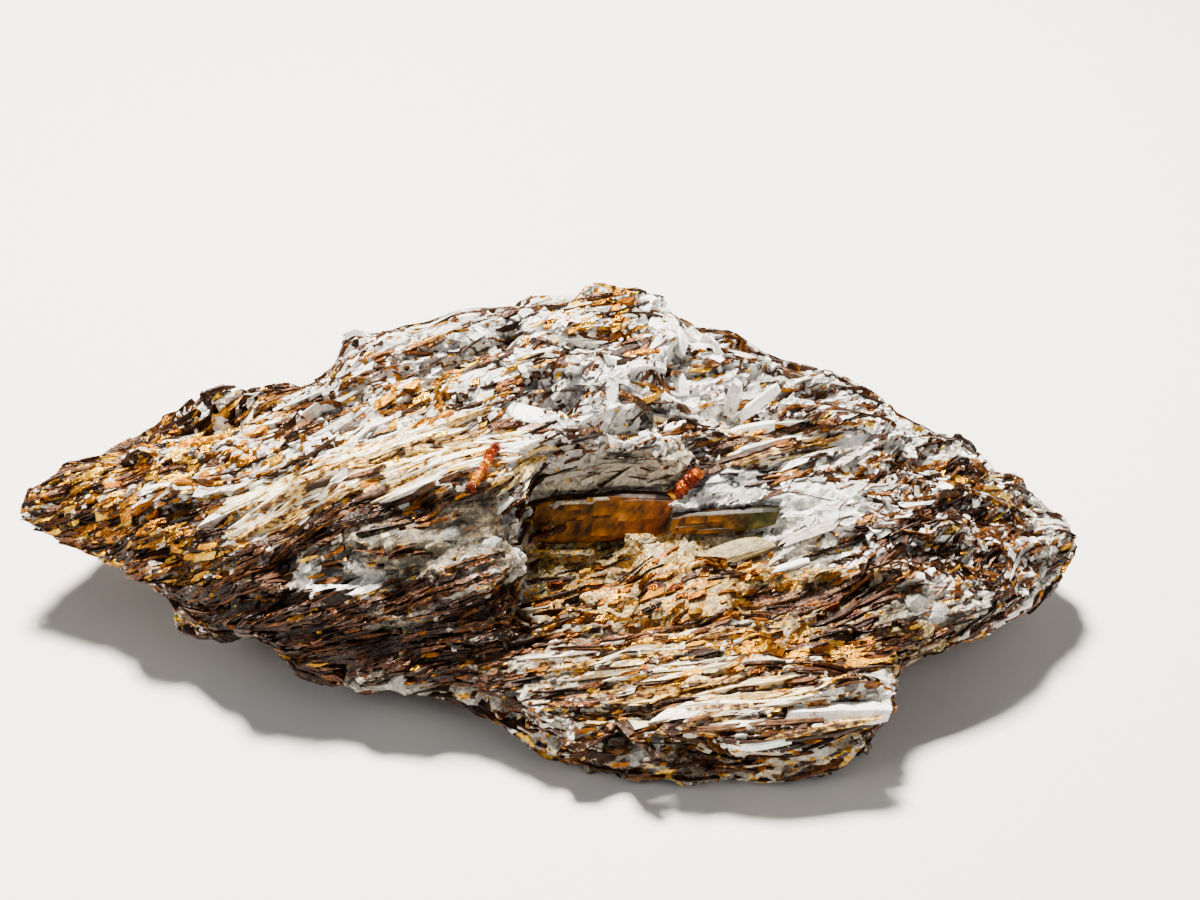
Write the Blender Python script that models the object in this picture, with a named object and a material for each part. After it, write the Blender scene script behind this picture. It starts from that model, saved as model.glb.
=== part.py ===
"""Astrophyllite cluster: a lens-shaped splinter of layered rock, lying on its flat underside.

The lump is one solid, because its crystals grew together. Its skin is drawn through guide lines that run from the
left tip to the right tip, such as the crest, the brow and the lip of the front ledge. The skin is then broken into
long splinters, the larger crystals are fused to it, and the underside is cut flat. Lengths here are in millimetres,
and the finished mesh is in metres with its origin at the middle of the rock's footprint.
"""
import math
import random

import bmesh
import bpy
from mathutils import Matrix, Vector, noise
from mathutils.bvhtree import BVHTree

NODE = "astrophyllite_cluster"
MM = 0.001

# Driving dimensions of the whole lump, which the finished solid is fitted to.
LENGTH = 107.0
DEPTH = 60.0
HEIGHT = 28.3

# Guide lines round the lump as (x, y, z): x runs along it, y away from the front, z up from where it rests.
# The underside reaches below z = 0 where it is cut flat.
GUIDES = {
    "sole_front": [(-53, 0.6, 11.4), (-45, -2, 9), (-35, -7.5, 6.6), (-24, -12, 5.2), (-14, -13.5, 4),
                   (-4, -17, 1.6), (3, -22, -1), (18, -24.5, -1), (29, -21, -1), (33.5, -14, 5.5),
                   (43, -9.5, 6.4), (50, -4.5, 6.6), (53.5, -1.2, 7.8)],
    "front_belly": [(-53, 0, 11.7), (-45, -3.4, 9.4), (-35, -9.8, 7.8), (-24, -16.4, 6.6), (-14, -18.4, 5.2),
                    (-4, -20.5, 3.6), (3, -25.2, 1.8), (11, -27, 1.4), (19, -27.4, 1.4), (25, -26.6, 1.8),
                    (30.5, -24, 3), (33.3, -17.6, 6.8), (43, -13, 8.2), (50, -6, 7.4), (53.5, -1.6, 8.1)],
    "groove": [(-53, -0.2, 12), (-45, -3.6, 9.8), (-35, -10.2, 8.8), (-24, -17, 8), (-14, -18.8, 6.8),
               (-4, -21, 5.4), (3, -24, 4.8), (18, -25, 5.2), (30.5, -22.6, 5.8), (33.3, -18, 7.8),
               (43, -13.2, 9.4), (50, -6.2, 8.2), (53.5, -1.8, 8.4)],
    "ledge_lip": [(-53, -0.2, 12.3), (-45, -3.8, 10), (-35, -10.6, 9.8), (-24, -16.8, 9.6), (-14, -18.8, 8.8),
                  (-4, -22, 7.4), (4, -26, 7.2), (15, -27.4, 7.6), (25, -27, 7.6), (31.5, -24, 8.2),
                  (33.5, -18.4, 9.6), (43, -12.8, 10.6), (50, -6, 9), (53.5, -2.4, 8.6)],
    "ledge_back": [(-53, 0, 12.5), (-45, -3.4, 10.6), (-35, -9.4, 11.2), (-24, -14.8, 12.2), (-14, -16.4, 12.4),
                   (-4.2, -17.2, 12), (-2.6, -16.5, 9.4), (7, -15.5, 9.8), (15, -14, 10.4), (23, -12.5, 11.6),
                   (36, -12.4, 12.4), (43, -10.6, 11.8), (50, -5.2, 9.8), (53.5, -2, 9.2)],
    "wall_foot": [(-53, 0.2, 12.7), (-45, -2.8, 11.3), (-35, -7.8, 12.4), (-24, -11.8, 14.8), (-14, -12.8, 16.4),
                  (-4.2, -13, 17), (-2.6, -5, 11.4), (12, -5, 12), (14, -5.4, 13), (23, -6.4, 13.8),
                  (36, -9, 14), (43, -8, 12.8), (50, -4.2, 10.4), (53.5, -1.6, 9.6)],
    "wall_top": [(-53, 0.4, 12.9), (-45, -2.1, 12), (-35, -6.3, 13.5), (-24, -9.4, 16.9), (-14, -10, 19.4),
                 (-4.2, -10, 20.8), (-2.6, -2.6, 16), (12, -2.6, 17), (14, -3.6, 16), (23, -4.4, 15.8),
                 (36, -6.4, 15.4), (43, -5.6, 13.5), (50, -3, 10.9), (53.5, -1, 9.9)],
    "brow": [(-53, 0.8, 13.1), (-45, -1.4, 12.8), (-35, -4.8, 14.5), (-24, -7.4, 18.2), (-14, -8, 21.2),
             (-4.2, -8, 22.6), (-2.6, -0.8, 21.8), (12, 0, 21.2), (15, -0.6, 18.6), (23, -2, 17.2),
             (30, -3, 17), (36, -4, 16.2), (43, -3.4, 14), (50, -1.5, 11.3), (53.5, 0, 10.2)],
    "top_mid": [(-53, 1.5, 13.2), (-45, 2, 14.4), (-35, 3.5, 16.4), (-24, 4, 19.8), (-14, 5, 22.8), (-4, 5.5, 25),
                (5, 7, 25.2), (12.8, 7, 24.2), (14.4, 6.5, 21.2), (23, 5, 19.8), (30, 4, 19), (36, 3, 17.4),
                (43, 2, 14.6), (50, 0.8, 11.5), (53.5, 0.8, 10.2)],
    "crest": [(-53, 2.4, 13.2), (-48, 5, 14.2), (-37, 11, 16), (-28, 13, 17.2), (-21, 15, 20.8), (-15.3, 16, 23.2),
              (-7, 17, 25.2), (1, 17, 26.2), (9, 17, 25.2), (12.9, 16, 24.4), (14.5, 15, 21.8), (22, 15, 21.2),
              (30, 13, 19.8), (35, 11, 17.4), (42.5, 8.6, 14.2), (47, 6, 12.2), (51, 3.8, 10.6), (53.5, 2, 9.8)],
    "back_shoulder": [(-53, 3.6, 12.4), (-43, 13, 10.6), (-28, 20.5, 11), (-15, 24, 14.6), (1, 25, 17.4),
                      (13, 24.5, 17), (22, 22.6, 14.2), (35, 17.6, 11), (46, 10.6, 8.6), (53.5, 3, 8.6)],
    "back_belly": [(-53, 3.4, 11.8), (-43, 14, 7.4), (-28, 23.6, 6), (-10, 28.4, 7.4), (5, 29.4, 8.4),
                   (20, 27, 7.6), (35, 20, 6.6), (46, 11.6, 6.2), (53.5, 3, 7.8)],
    "sole_back": [(-53, 2.6, 11.4), (-43, 10, 6), (-28, 18.5, 2.4), (-16, 22, -1), (5, 25, -1), (22, 22, -1),
                  (33, 15, 2.6), (45, 7.6, 5), (53.5, 1.6, 7.2)],
    "sole_mid": [(-53, 1.6, 11.2), (-43, 3.4, 7), (-28, 3, 3), (-16, 3, -1), (5, 1, -1), (24, 1, -1), (33, 1, 1.6),
                 (45, 1.6, 4.6), (53.5, 0, 7.4)],
}
FIRST_X, LAST_X = -53.0, 53.5
# How many strips the skin has from each guide line to the next, in the same order.
STRIPS = (2, 2, 2, 5, 5, 3, 3, 5, 5, 4, 3, 3, 2, 2)
STATIONS = 55

# The skin breaks into splinters along the layering, with lumps and roughness over them.
SPLINTER_WIDTH, SPLINTER_LENGTH, SPLINTER_RISE = 3.3, 12.0, 1.7
LUMP_SIZE, LUMP_RISE = 10.0, 1.1
GRAIN_SIZE, GRAIN_RISE = 3.4, 0.6
TIP_EASE = 9.0
# Where the skin's rows lie closer together than this, it moves less, so that it doesn't run into itself.
ROOM = 1.3

# Crystals that stand out of the skin: how many are tried, their least and greatest sizes, how deep their middles lie
# as a share of their thickness, how far they stray from the layering, and how far a corner may stand out.
LATHS = 230
LATH_LENGTH = (3.5, 10.0)
LATH_WIDTH = (0.9, 2.0)
LATH_THICKNESS = (1.1, 1.8)
LATH_SINK = 0.5
LATH_SLANT = (-1.8, 1.8)
LATH_STRAY = math.radians(12)
LATH_ROLL = math.radians(24)
LATH_STAND = 1.7
LATH_SEED = 12
# Steps that spread the crystals evenly along the lump and round it.
SPREAD_ALONG, SPREAD_ROUND = 0.7549, 0.5698
# Rows beside the crest, and stations from each tip, that carry no crystal.
CREST_BARE = 3
TIP_BARE = 4
# Which way the layering runs at the left tip and at the right tip.
LAYERING_LEFT, LAYERING_RIGHT = Vector((1, 0.22, 0.16)), Vector((1, 0.6, 0.02))

# The crystals that the eye finds first: middle, length, height and thickness, and how far each leans.
NAMED_CRYSTALS = (
    ((4.6, -3.4, 14.2), (15.4, 4.6, 2.0), 3),
    ((17.6, -4.4, 14.9), (10.4, 1.9, 2.0), 5),
    ((-6.6, -8.6, 21.0), (5.4, 1.3, 1.3), 62),
    ((13.6, -2.6, 18.0), (4.6, 1.5, 1.5), 50),
    ((22.6, 6.0, 20.6), (6.4, 1.4, 1.4), 40),
    ((18.8, 7.0, 21.4), (4.6, 1.5, 1.4), 76),
    ((20.6, 3.6, 20.0), (4.8, 1.4, 1.2), 14),
    ((27.6, -25.6, 8.3), (9.6, 1.6, 1.8), 2),
)
CRYSTAL_LEAN_BACK = math.radians(68)
CUT_BLOCK = 400.0


def row_of(name):
    """The row of the skin that follows a guide line."""
    return sum(STRIPS[: list(GUIDES).index(name)])


def blend_slopes(before, after):
    """The slope at a guide point: level at a peak or a dip, so that the line never overshoots."""
    if before * after <= 0:
        return 0.0
    return 2 * before * after / (before + after)


def along(points, axis, x):
    """One coordinate of a guide line at x, on a smooth line through the guide's points."""
    places = [p[0] for p in points]
    values = [p[axis] for p in points]
    x = min(max(x, places[0]), places[-1])
    i = max(k for k in range(len(places) - 1) if places[k] <= x)
    steep = [(values[k + 1] - values[k]) / (places[k + 1] - places[k]) for k in range(len(places) - 1)]
    start = blend_slopes(steep[i - 1], steep[i]) if i else steep[0]
    end = blend_slopes(steep[i], steep[i + 1]) if i + 1 < len(steep) else steep[-1]
    run = places[i + 1] - places[i]
    t = (x - places[i]) / run
    bend_in = (start - steep[i]) * run
    bend_out = (end - steep[i]) * run
    straight = values[i] + (values[i + 1] - values[i]) * t
    return straight + t * (1 - t) * (bend_in * (1 - t) - bend_out * t)


def ring(x):
    """The closed section of the lump at x, as points."""
    corners = [Vector((x, along(g, 1, x), along(g, 2, x))) for g in GUIDES.values()]
    points = []
    for i, (corner, strips) in enumerate(zip(corners, STRIPS)):
        ahead = corners[(i + 1) % len(corners)]
        points += [corner.lerp(ahead, k / strips) for k in range(strips)]
    return points


def girths(points):
    """The distance of each point of a ring from the brow, round the ring: below it is negative."""
    found = [0.0] * len(points)
    brow = row_of("brow")
    for j in range(brow + 1, len(points)):
        found[j] = found[j - 1] + (points[j] - points[j - 1]).length
    for j in range(brow - 1, -1, -1):
        found[j] = found[j + 1] - (points[j + 1] - points[j]).length
    return found


def splinter_rise(x, girth):
    """How far the skin stands out at a place, by the splinter that it belongs to."""
    wander = 0.7 * noise.noise((x / 17.0, girth / 9.0, 4.0))
    band = math.floor(girth / SPLINTER_WIDTH + wander)
    shift = 40.0 * noise.cell((band * 1.37, 2.5, 0.5))
    piece = math.floor((x + shift) / SPLINTER_LENGTH)
    return (noise.cell((band * 1.37, piece * 1.91, 7.5)) - 0.5) * SPLINTER_RISE


def skin_normal(rings, i, j):
    """The outward direction of the skin at a station and a row."""
    rows = len(rings[i])
    lengthways = rings[min(i + 1, len(rings) - 1)][j] - rings[max(i - 1, 0)][j]
    roundways = rings[i][(j + 1) % rows] - rings[i][j - 1]
    return roundways.cross(lengthways).normalized()


def roughened(rings):
    """The same places, moved along the skin's normals by the splinters, the lumps and the grain."""
    moved = []
    for i, here in enumerate(rings):
        line = []
        for j, (p, girth) in enumerate(zip(here, girths(here))):
            out = splinter_rise(p.x, girth)
            out += LUMP_RISE * noise.noise(p / LUMP_SIZE)
            out += GRAIN_RISE * noise.noise(p / GRAIN_SIZE)
            ease = min(1.0, (p.x - FIRST_X) / TIP_EASE, (LAST_X - p.x) / TIP_EASE)
            room = min((here[(j + 1) % len(here)] - p).length, (here[j - 1] - p).length)
            out *= (0.25 + 0.75 * ease) * min(1.0, room / ROOM)
            line.append(p + skin_normal(rings, i, j) * out)
        moved.append(line)
    return moved


def skin_mesh(rings):
    """The lump's closed skin."""
    mesh = bmesh.new()
    verts = [[mesh.verts.new(p) for p in line] for line in rings]
    rows = len(verts[0])
    for left, right in zip(verts, verts[1:]):
        for j in range(rows):
            k = (j + 1) % rows
            mesh.faces.new((left[j], left[k], right[k], right[j]))
    for cap in (verts[0], verts[-1]):
        mesh.faces.new(cap)
    bmesh.ops.recalc_face_normals(mesh, faces=mesh.faces)
    return mesh


def layering(rings, i, j, normal):
    """The direction of the layering in the skin: between the rock's own and that of the guide lines."""
    part = (rings[i][j].x - FIRST_X) / (LAST_X - FIRST_X)
    guided = (rings[i + 1][j] - rings[i - 1][j]).normalized()
    way = LAYERING_LEFT.lerp(LAYERING_RIGHT, part).normalized() + guided
    return (way - normal * way.dot(normal)).normalized()


def lath(length, width, thickness, slant, place):
    """A flat-faced crystal with slanting ends, lying along its own X, put at the matrix place."""
    mesh = bmesh.new()
    half, side = length / 2, width / 2
    outline = [(-half - slant / 2, -side), (half - slant / 2, -side), (half + slant / 2, side),
               (-half + slant / 2, side)]
    low = [mesh.verts.new(place @ Vector((u, v, -thickness / 2))) for u, v in outline]
    high = [mesh.verts.new(place @ Vector((u, v, thickness / 2))) for u, v in outline]
    mesh.faces.new(reversed(low))
    mesh.faces.new(high)
    for k in range(len(outline)):
        m = (k + 1) % len(outline)
        mesh.faces.new((low[k], low[m], high[m], high[k]))
    return mesh


def stands_clear(crystal, skin):
    """Whether a corner of the crystal stands too far out of the skin."""
    for vert in crystal.verts:
        place, normal, *_ = skin.find_nearest(vert.co)
        if (vert.co - place).dot(normal) > LATH_STAND:
            return True
    return False


def scattered_laths(rings, skin):
    """Crystals over the front, the top and the back, each nearly in line with the layering where it lies."""
    pick = random.Random(LATH_SEED)
    lowest, highest, crest = (row_of(name) for name in ("groove", "back_belly", "crest"))
    found = []
    for k in range(1, LATHS + 1):
        i = TIP_BARE + int(k * SPREAD_ALONG % 1 * (STATIONS - 2 * TIP_BARE))
        girth = girths(rings[i])
        goal = girth[lowest] + k * SPREAD_ROUND % 1 * (girth[highest] - girth[lowest])
        j = min(range(lowest, highest), key=lambda row: abs(girth[row] - goal))
        if abs(j - crest) <= CREST_BARE:
            continue
        normal = skin_normal(rings, i, j)
        way = layering(rings, i, j, normal)
        turn = Matrix.Rotation(pick.gauss(0, LATH_STRAY), 4, normal)
        roll = Matrix.Rotation(pick.gauss(0, LATH_ROLL), 4, "X")
        basis = Matrix((way, normal.cross(way), normal)).transposed().to_4x4()
        limits = (LATH_LENGTH, LATH_WIDTH, LATH_THICKNESS, LATH_SLANT)
        sizes = [pick.uniform(*limit) for limit in limits]
        middle = rings[i][j] - normal * sizes[2] * LATH_SINK
        crystal = lath(*sizes, Matrix.Translation(middle) @ turn @ basis @ roll)
        if not stands_clear(crystal, skin):
            found.append(crystal)
    return found


def named_crystals():
    """The large blades in the hollow and the bright rods, standing on edge with their flat sides to the front."""
    found = []
    for middle, (length, height, thickness), lean in NAMED_CRYSTALS:
        upright = Matrix.Rotation(CRYSTAL_LEAN_BACK, 4, "X")
        tilt = Matrix.Rotation(math.radians(-lean), 4, "Y")
        place = Matrix.Translation(middle) @ tilt @ upright
        found.append(lath(length, height, thickness, thickness / 2, place))
    return found


def object_from(mesh, name, helper=False):
    """A Blender object that holds the bmesh. A helper is drawn as wire and left out of the result."""
    bmesh.ops.recalc_face_normals(mesh, faces=mesh.faces)
    data = bpy.data.meshes.new(name)
    mesh.to_mesh(data)
    mesh.free()
    made = bpy.data.objects.new(name, data)
    bpy.context.scene.collection.objects.link(made)
    made.hide_render = helper
    made.display_type = "WIRE" if helper else "TEXTURED"
    return made


def boolean(obj, operation, others):
    """Joins the closed meshes of the objects in others to obj, or cuts them from it."""
    operands = bpy.data.collections.new(others[0].name)
    for other in others:
        operands.objects.link(other)
    modifier = obj.modifiers.new(operation.title(), "BOOLEAN")
    modifier.operation = operation
    modifier.operand_type = "COLLECTION"
    modifier.collection = operands
    modifier.solver = "MANIFOLD"


def cutting_block():
    """A block whose top is the plane that the rock rests on."""
    mesh = bmesh.new()
    bmesh.ops.create_cube(mesh, size=CUT_BLOCK, matrix=Matrix.Translation((0, 0, -CUT_BLOCK / 2)))
    return object_from(mesh, "resting_plane_cutter", helper=True)


def keep_outer_skin(data):
    """Deletes all but the largest skin, so no crumb or sealed cavity between crystals is left."""
    mesh = bmesh.new()
    mesh.from_mesh(data)
    unseen = set(mesh.faces)
    skins = []
    while unseen:
        skin, reached = [], [unseen.pop()]
        while reached:
            face = reached.pop()
            skin.append(face)
            found = {f for e in face.edges if len(e.link_faces) == 2 for f in e.link_faces} & unseen
            unseen -= found
            reached += found
        skins.append(skin)
    skins.sort(key=len)
    for skin in skins[:-1]:
        bmesh.ops.delete(mesh, geom=skin, context="FACES")
    mesh.to_mesh(data)
    mesh.free()


def fit_to_size(obj):
    """Bakes the modifiers, then brings the solid to its driving dimensions, its footprint's middle at the origin."""
    graph = bpy.context.evaluated_depsgraph_get()
    solid = bpy.data.meshes.new_from_object(obj.evaluated_get(graph))
    obj.modifiers.clear()
    keep_outer_skin(solid)
    corners = [Vector(c) for c in zip(*[(min(a), max(a)) for a in zip(*[v.co for v in solid.vertices])])]
    span = corners[1] - corners[0]
    foot = Vector(((corners[0].x + corners[1].x) / 2, (corners[0].y + corners[1].y) / 2, corners[0].z))
    sizes = (LENGTH / span.x, DEPTH / span.y, HEIGHT / span.z, 1)
    solid.transform(Matrix.Scale(MM, 4) @ Matrix.Diagonal(sizes) @ Matrix.Translation(-foot))
    obj.data = solid


def stone():
    """Grey-white rock with brown crystals."""
    material = bpy.data.materials.new("grey_white_rock")
    material.use_nodes = True
    shader = material.node_tree.nodes["Principled BSDF"]
    shader.inputs["Base Color"].default_value = (0.42, 0.34, 0.27, 1)
    shader.inputs["Roughness"].default_value = 0.5
    shader.inputs["Metallic"].default_value = 0.0
    return material


def main():
    for old in list(bpy.data.objects):
        bpy.data.objects.remove(old)
    places = [FIRST_X + (LAST_X - FIRST_X) * i / (STATIONS - 1) for i in range(STATIONS)]
    rings = roughened([ring(x) for x in places])
    skin = skin_mesh(rings)
    crystals = scattered_laths(rings, BVHTree.FromBMesh(skin)) + named_crystals()
    cluster = object_from(skin, NODE)
    boolean(cluster, "UNION", [object_from(crystal, "crystal_to_fuse", helper=True) for crystal in crystals])
    boolean(cluster, "DIFFERENCE", [cutting_block()])
    fit_to_size(cluster)
    cluster.data.materials.append(stone())


main()
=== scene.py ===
"""Dresses the astrophyllite cluster: pale layered rock grown through with brown, bronze and gold blades.

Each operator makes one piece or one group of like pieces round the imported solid, and the last one sets the
stage. Lengths in the tables are in millimetres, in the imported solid's frame, and MM turns them into metres.
"""
import math
import random
from functools import partial

import bmesh
import bpy
import numpy as np
from mathutils import Matrix, Vector, noise
from mathutils.kdtree import KDTree


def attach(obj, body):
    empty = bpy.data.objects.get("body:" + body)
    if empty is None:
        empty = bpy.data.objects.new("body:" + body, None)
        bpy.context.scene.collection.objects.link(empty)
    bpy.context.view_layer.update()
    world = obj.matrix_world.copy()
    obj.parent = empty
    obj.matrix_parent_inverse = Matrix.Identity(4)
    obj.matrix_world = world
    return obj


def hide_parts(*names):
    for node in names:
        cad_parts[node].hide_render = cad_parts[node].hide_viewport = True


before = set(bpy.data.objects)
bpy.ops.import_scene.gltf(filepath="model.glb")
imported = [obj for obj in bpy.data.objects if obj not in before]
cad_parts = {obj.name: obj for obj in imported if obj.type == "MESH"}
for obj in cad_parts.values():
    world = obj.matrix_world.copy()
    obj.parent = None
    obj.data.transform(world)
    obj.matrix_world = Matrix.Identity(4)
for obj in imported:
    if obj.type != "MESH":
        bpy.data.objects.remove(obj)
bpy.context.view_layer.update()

bl_info = {
    "name": "Astrophyllite Cluster",
    "version": (1, 0, 0),
    "blender": (4, 5, 0),
    "location": "View3D > Sidebar > Astrophyllite",
    "description": "Makes a splinter of pale rock with bladed brown and gold crystals",
    "category": "Add Mesh",
}

MM = 0.001
WELD = 0.001
NODE = "astrophyllite_cluster"
BODY = "root"

# What the rock is made of from place to place, with painted shade in the belly and brow zones: middle and
# reach of each zone, then the shares of brown blades and of gold flakes, how tan and how white the pale
# rock is there, and how much the blades stray from the layering.
ZONES = {
    "left_tip": ((-48, -1, 13), (8, 8, 5), 0.56, 0.48, 0.42, 0.50, 0.35),
    "wedge_back": ((-37, 3, 18), (10, 8, 5), 0.18, 0.50, 0.15, 1.00, 0.35),
    "bundle": ((-17, -7, 22.5), (12, 3.6, 3.2), 0.08, 0.55, 0.12, 1.00, 0.03),
    "bundle_end": ((-29, -8, 18.5), (5, 3, 3), 0.34, 0.45, 0.20, 0.80, 0.05),
    # The brow line and its rise are dark brown: partly astrophyllite, partly painted shade under the brow's
    # overhang.
    "brow_line": ((-27, -10.8, 16.8), (10, 1.8, 1.6), 1.00, 0.03, 0.20, 0.05, 0.03),
    "brow_rise": ((-15, -11.6, 20.8), (7.5, 1.7, 1.2), 1.00, 0.03, 0.20, 0.05, 0.03),
    "front_grey": ((-9.5, -13.2, 19.0), (7.0, 2.6, 3.4), 0.06, 0.03, 0.72, 0.20, 0.25),
    "chunk": ((-36.5, -9.0, 14.0), (5, 2.6, 2.0), 0.35, 0.90, 0.45, 0.60, 0.10),
    "fracture": ((-2.6, -12.0, 16.0), (1.3, 4.0, 6.0), 0.03, 0.02, 0.15, 0.72, 0.30),
    "white_patch": ((-19.5, -16, 14.4), (5.0, 2.0, 1.4), 0.08, 0.05, 0.00, 1.00, 0.15),
    # The left belly is dark brown all through: partly its own colour, partly painted shade under the
    # overhang.
    "left_belly": ((-26, -17, 9.5), (16, 5, 3.6), 1.00, 0.10, 0.60, 0.00, 0.10),
    "grey_belly": ((-11, -18, 12.5), (6, 3, 4), 0.60, 0.08, 0.45, 0.26, 0.10),
    "top_left": ((-18, 5, 24.5), (12, 6, 4), 0.24, 0.32, 0.06, 0.95, 0.50),
    "top_edge": ((-8, 12, 26.5), (10, 4, 3), 0.20, 0.14, 0.04, 1.00, 0.60),
    "top_red": ((4, 14, 27), (5, 4, 2), 0.32, 0.50, 0.15, 0.85, 0.50),
    "top_middle": ((3, 3, 25.5), (9, 6, 4), 0.30, 0.12, 0.02, 1.00, 0.90),
    "top_white": ((12, 13, 25.6), (2.6, 4, 3), 0.05, 0.04, 0.00, 1.00, 0.20),
    "mid_front": ((0, -4, 23), (4, 3, 3), 0.15, 0.08, 0.08, 0.78, 0.60),
    "olive_wall": ((6, -3.6, 20), (8.5, 2, 2.2), 0.04, 0.06, 0.62, 0.78, 0.60),
    "hollow": ((8, -8, 13), (12, 3.4, 2.4), 0.10, 0.26, 0.95, 0.78, 0.40),
    "ledge": ((19, -8.4, 13.6), (7.5, 2.0, 1.6), 0.02, 0.04, 0.60, 0.95, 0.20),
    "ramp": ((12, -13, 12.6), (15, 4.4, 2.6), 0.13, 0.46, 1.00, 0.74, 0.15),
    "ramp_band": ((25, -13.2, 11), (12, 2.1, 1.7), 1.00, 0.08, 0.72, 0.05, 0.05),
    "step_white": ((16.5, 8, 22.4), (3.0, 6, 3.5), 0.12, 0.10, 0.00, 1.00, 0.40),
    "step_laths": ((22, 0.6, 19.6), (7, 2.6, 2.6), 0.52, 0.30, 0.00, 0.75, 0.12),
    "right_top": ((31, 9, 19), (9, 7, 4), 0.34, 0.14, 0.02, 0.92, 0.60),
    "grey_patch": ((23, -5.8, 16.5), (9.5, 3.4, 2.8), 0.05, 0.02, 0.00, 0.74, 0.60),
    "brown_zone": ((41, -6.5, 15.5), (8, 6, 4), 0.62, 0.16, 0.06, 0.70, 1.00),
    "right_crest": ((42, 7, 15), (8, 4, 4), 0.18, 0.12, 0.05, 1.00, 0.50),
    "quartz": ((37.5, -15.8, 11.8), (4, 2.6, 3), 0.24, 0.05, 0.45, 0.50, 0.40),
    "right_tip": ((50, -4.5, 10), (3.6, 4, 4), 0.28, 0.18, 0.22, 0.88, 0.50),
    "right_foot": ((33, -17, 10), (6, 3.6, 3.4), 0.40, 0.22, 1.00, 0.60, 0.20),
    "block_top": ((15, -21.5, 10.8), (13, 3.4, 2.4), 0.45, 0.46, 0.50, 0.78, 0.06),
    "block_front": ((17, -26.5, 8.6), (12, 2.2, 2), 0.45, 0.30, 0.40, 0.60, 0.03),
    "block_white": ((28, -26.5, 8.8), (6, 2.5, 1.6), 0.10, 0.12, 0.10, 1.00, 0.03),
    "block_left": ((2, -21, 9.6), (5, 4, 3.0), 0.35, 0.26, 0.60, 0.62, 0.10),
    "block_foot": ((19, -28.0, 3.6), (14, 3.0, 2.6), 0.30, 0.22, 0.60, 0.70, 0.15),
    "belly_end": ((-7, -19, 11), (5, 4, 4), 0.80, 0.20, 0.55, 0.25, 0.10),
    "round_grey": ((-15, -20.5, 6.2), (6, 3, 2.6), 0.15, 0.05, 0.45, 0.35, 0.20),
    "back_left": ((-32, 18, 9), (11, 7, 5), 0.60, 0.25, 0.35, 0.40, 0.25),
    "back_pale": ((-8, 21, 15), (10, 8, 7), 0.22, 0.08, 0.05, 0.92, 0.50),
    "back_brown": ((13, 23, 9), (9, 8, 5), 0.52, 0.22, 0.30, 0.45, 0.25),
    "back_right": ((35, 14, 10), (10, 8, 6), 0.20, 0.10, 0.10, 0.92, 0.60),
    "wedge_crest": ((-38, 9, 17), (7, 4, 3.5), 0.20, 0.45, 0.20, 0.88, 0.35),
    "left_crest": ((-24, 12, 21.5), (9, 5, 4), 0.26, 0.20, 0.08, 0.92, 0.45),
    "right_crest_white": ((20, 16, 20.5), (5, 5, 4), 0.20, 0.12, 0.02, 0.98, 0.50),
    # The underside zone makes the rock darker and browner towards the floor.
    "underside": ((0, 0, 0), (60, 40, 2.2), 0.60, 0.08, 0.50, 0.25, 0.40),
}
ELSEWHERE = (0.34, 0.12, 0.10, 0.75, 0.50)
ELSEWHERE_WEIGHT = 0.006
ZONE_SHARPNESS = 2.0

# How a layer climbs for each millimetre to the right, at some places along the rock: (x, away from the front,
# upwards). The front block broke off along a plane of its own, where the layers lie almost level.
LAYER_CLIMB = ((-53.5, 0.22, 0.17), (0.0, 0.24, 0.17), (53.5, 0.40, 0.10))
BLOCK_CLIMB = ((-53.5, 0.22, 0.17), (-16.0, 0.24, 0.17), (2.0, 0.06, 0.05), (53.5, 0.06, 0.05))
BLOCK_BACK_Y, BLOCK_TOP_Z, BLOCK_MIDDLE_X = -18.4, 12.6, 14.0
BLOCK_EDGE = 3.0
CLIMB_REACH, CLIMB_STEP = 60.0, 0.5

# What grows or lies only round some places is gone at this squared distance from them, counted in reaches.
PLACE_EDGE = 1.6
# Where larger gold plates glint, and how densely: (middle, reach, amount).
GLINTS = (
    ((-36.5, -9.2, 14.0), (4.5, 2.4, 1.8), 1.0),
    ((4.0, 14, 27), (5.0, 4.0, 2.5), 0.45),
    ((12, -21.6, 11.0), (6.0, 2.2, 2.0), 0.7),
    ((24, -21.6, 11.0), (8.0, 2.2, 2.0), 0.9),
    ((-20, -7, 22.0), (10.0, 3.0, 3.0), 0.5),
    ((-44, -1, 14.5), (7.0, 5.0, 4.0), 0.7),
    ((-34, 3, 18.5), (8.0, 5.0, 4.0), 0.4),
    ((-13, 1, 24.5), (8.0, 4.0, 3.0), 0.4),
    ((43, 0, 15.0), (5.0, 4.0, 3.0), 0.4),
    ((12, -12.5, 13.0), (9.0, 3.0, 2.0), 0.25),
)

# Where long straight fibres of white, gold and brown lie side by side: (middle, reach, amount).
FIBRES = (
    ((-16, -6.8, 22.8), (13.0, 3.6, 3.0), 1.0),
    ((-28, -7.5, 19.0), (7.0, 3.4, 3.0), 0.8),
    ((17, -26.5, 8.8), (14.0, 2.6, 2.0), 0.5),
    ((12, -21.5, 11.0), (12.0, 3.0, 2.0), 0.25),
    ((22.0, 0.6, 20.2), (6.5, 2.6, 2.0), 0.35),
)

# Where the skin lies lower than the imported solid's: (middle, reach, how many times the drop).
SUNK_PLACES = (
    ((-34.0, 12.0, 17.8), (7.0, 5.0, 3.0), 1.8),
    ((-21.3, 13.0, 23.6), (2.4, 2.4, 2.0), 1.0),
    ((18.5, 20.4, 18.6), (5.0, 3.0, 3.0), 1.0),
    ((-1.4, -6.8, 16.0), (1.8, 2.2, 2.0), 1.5),
)

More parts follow.
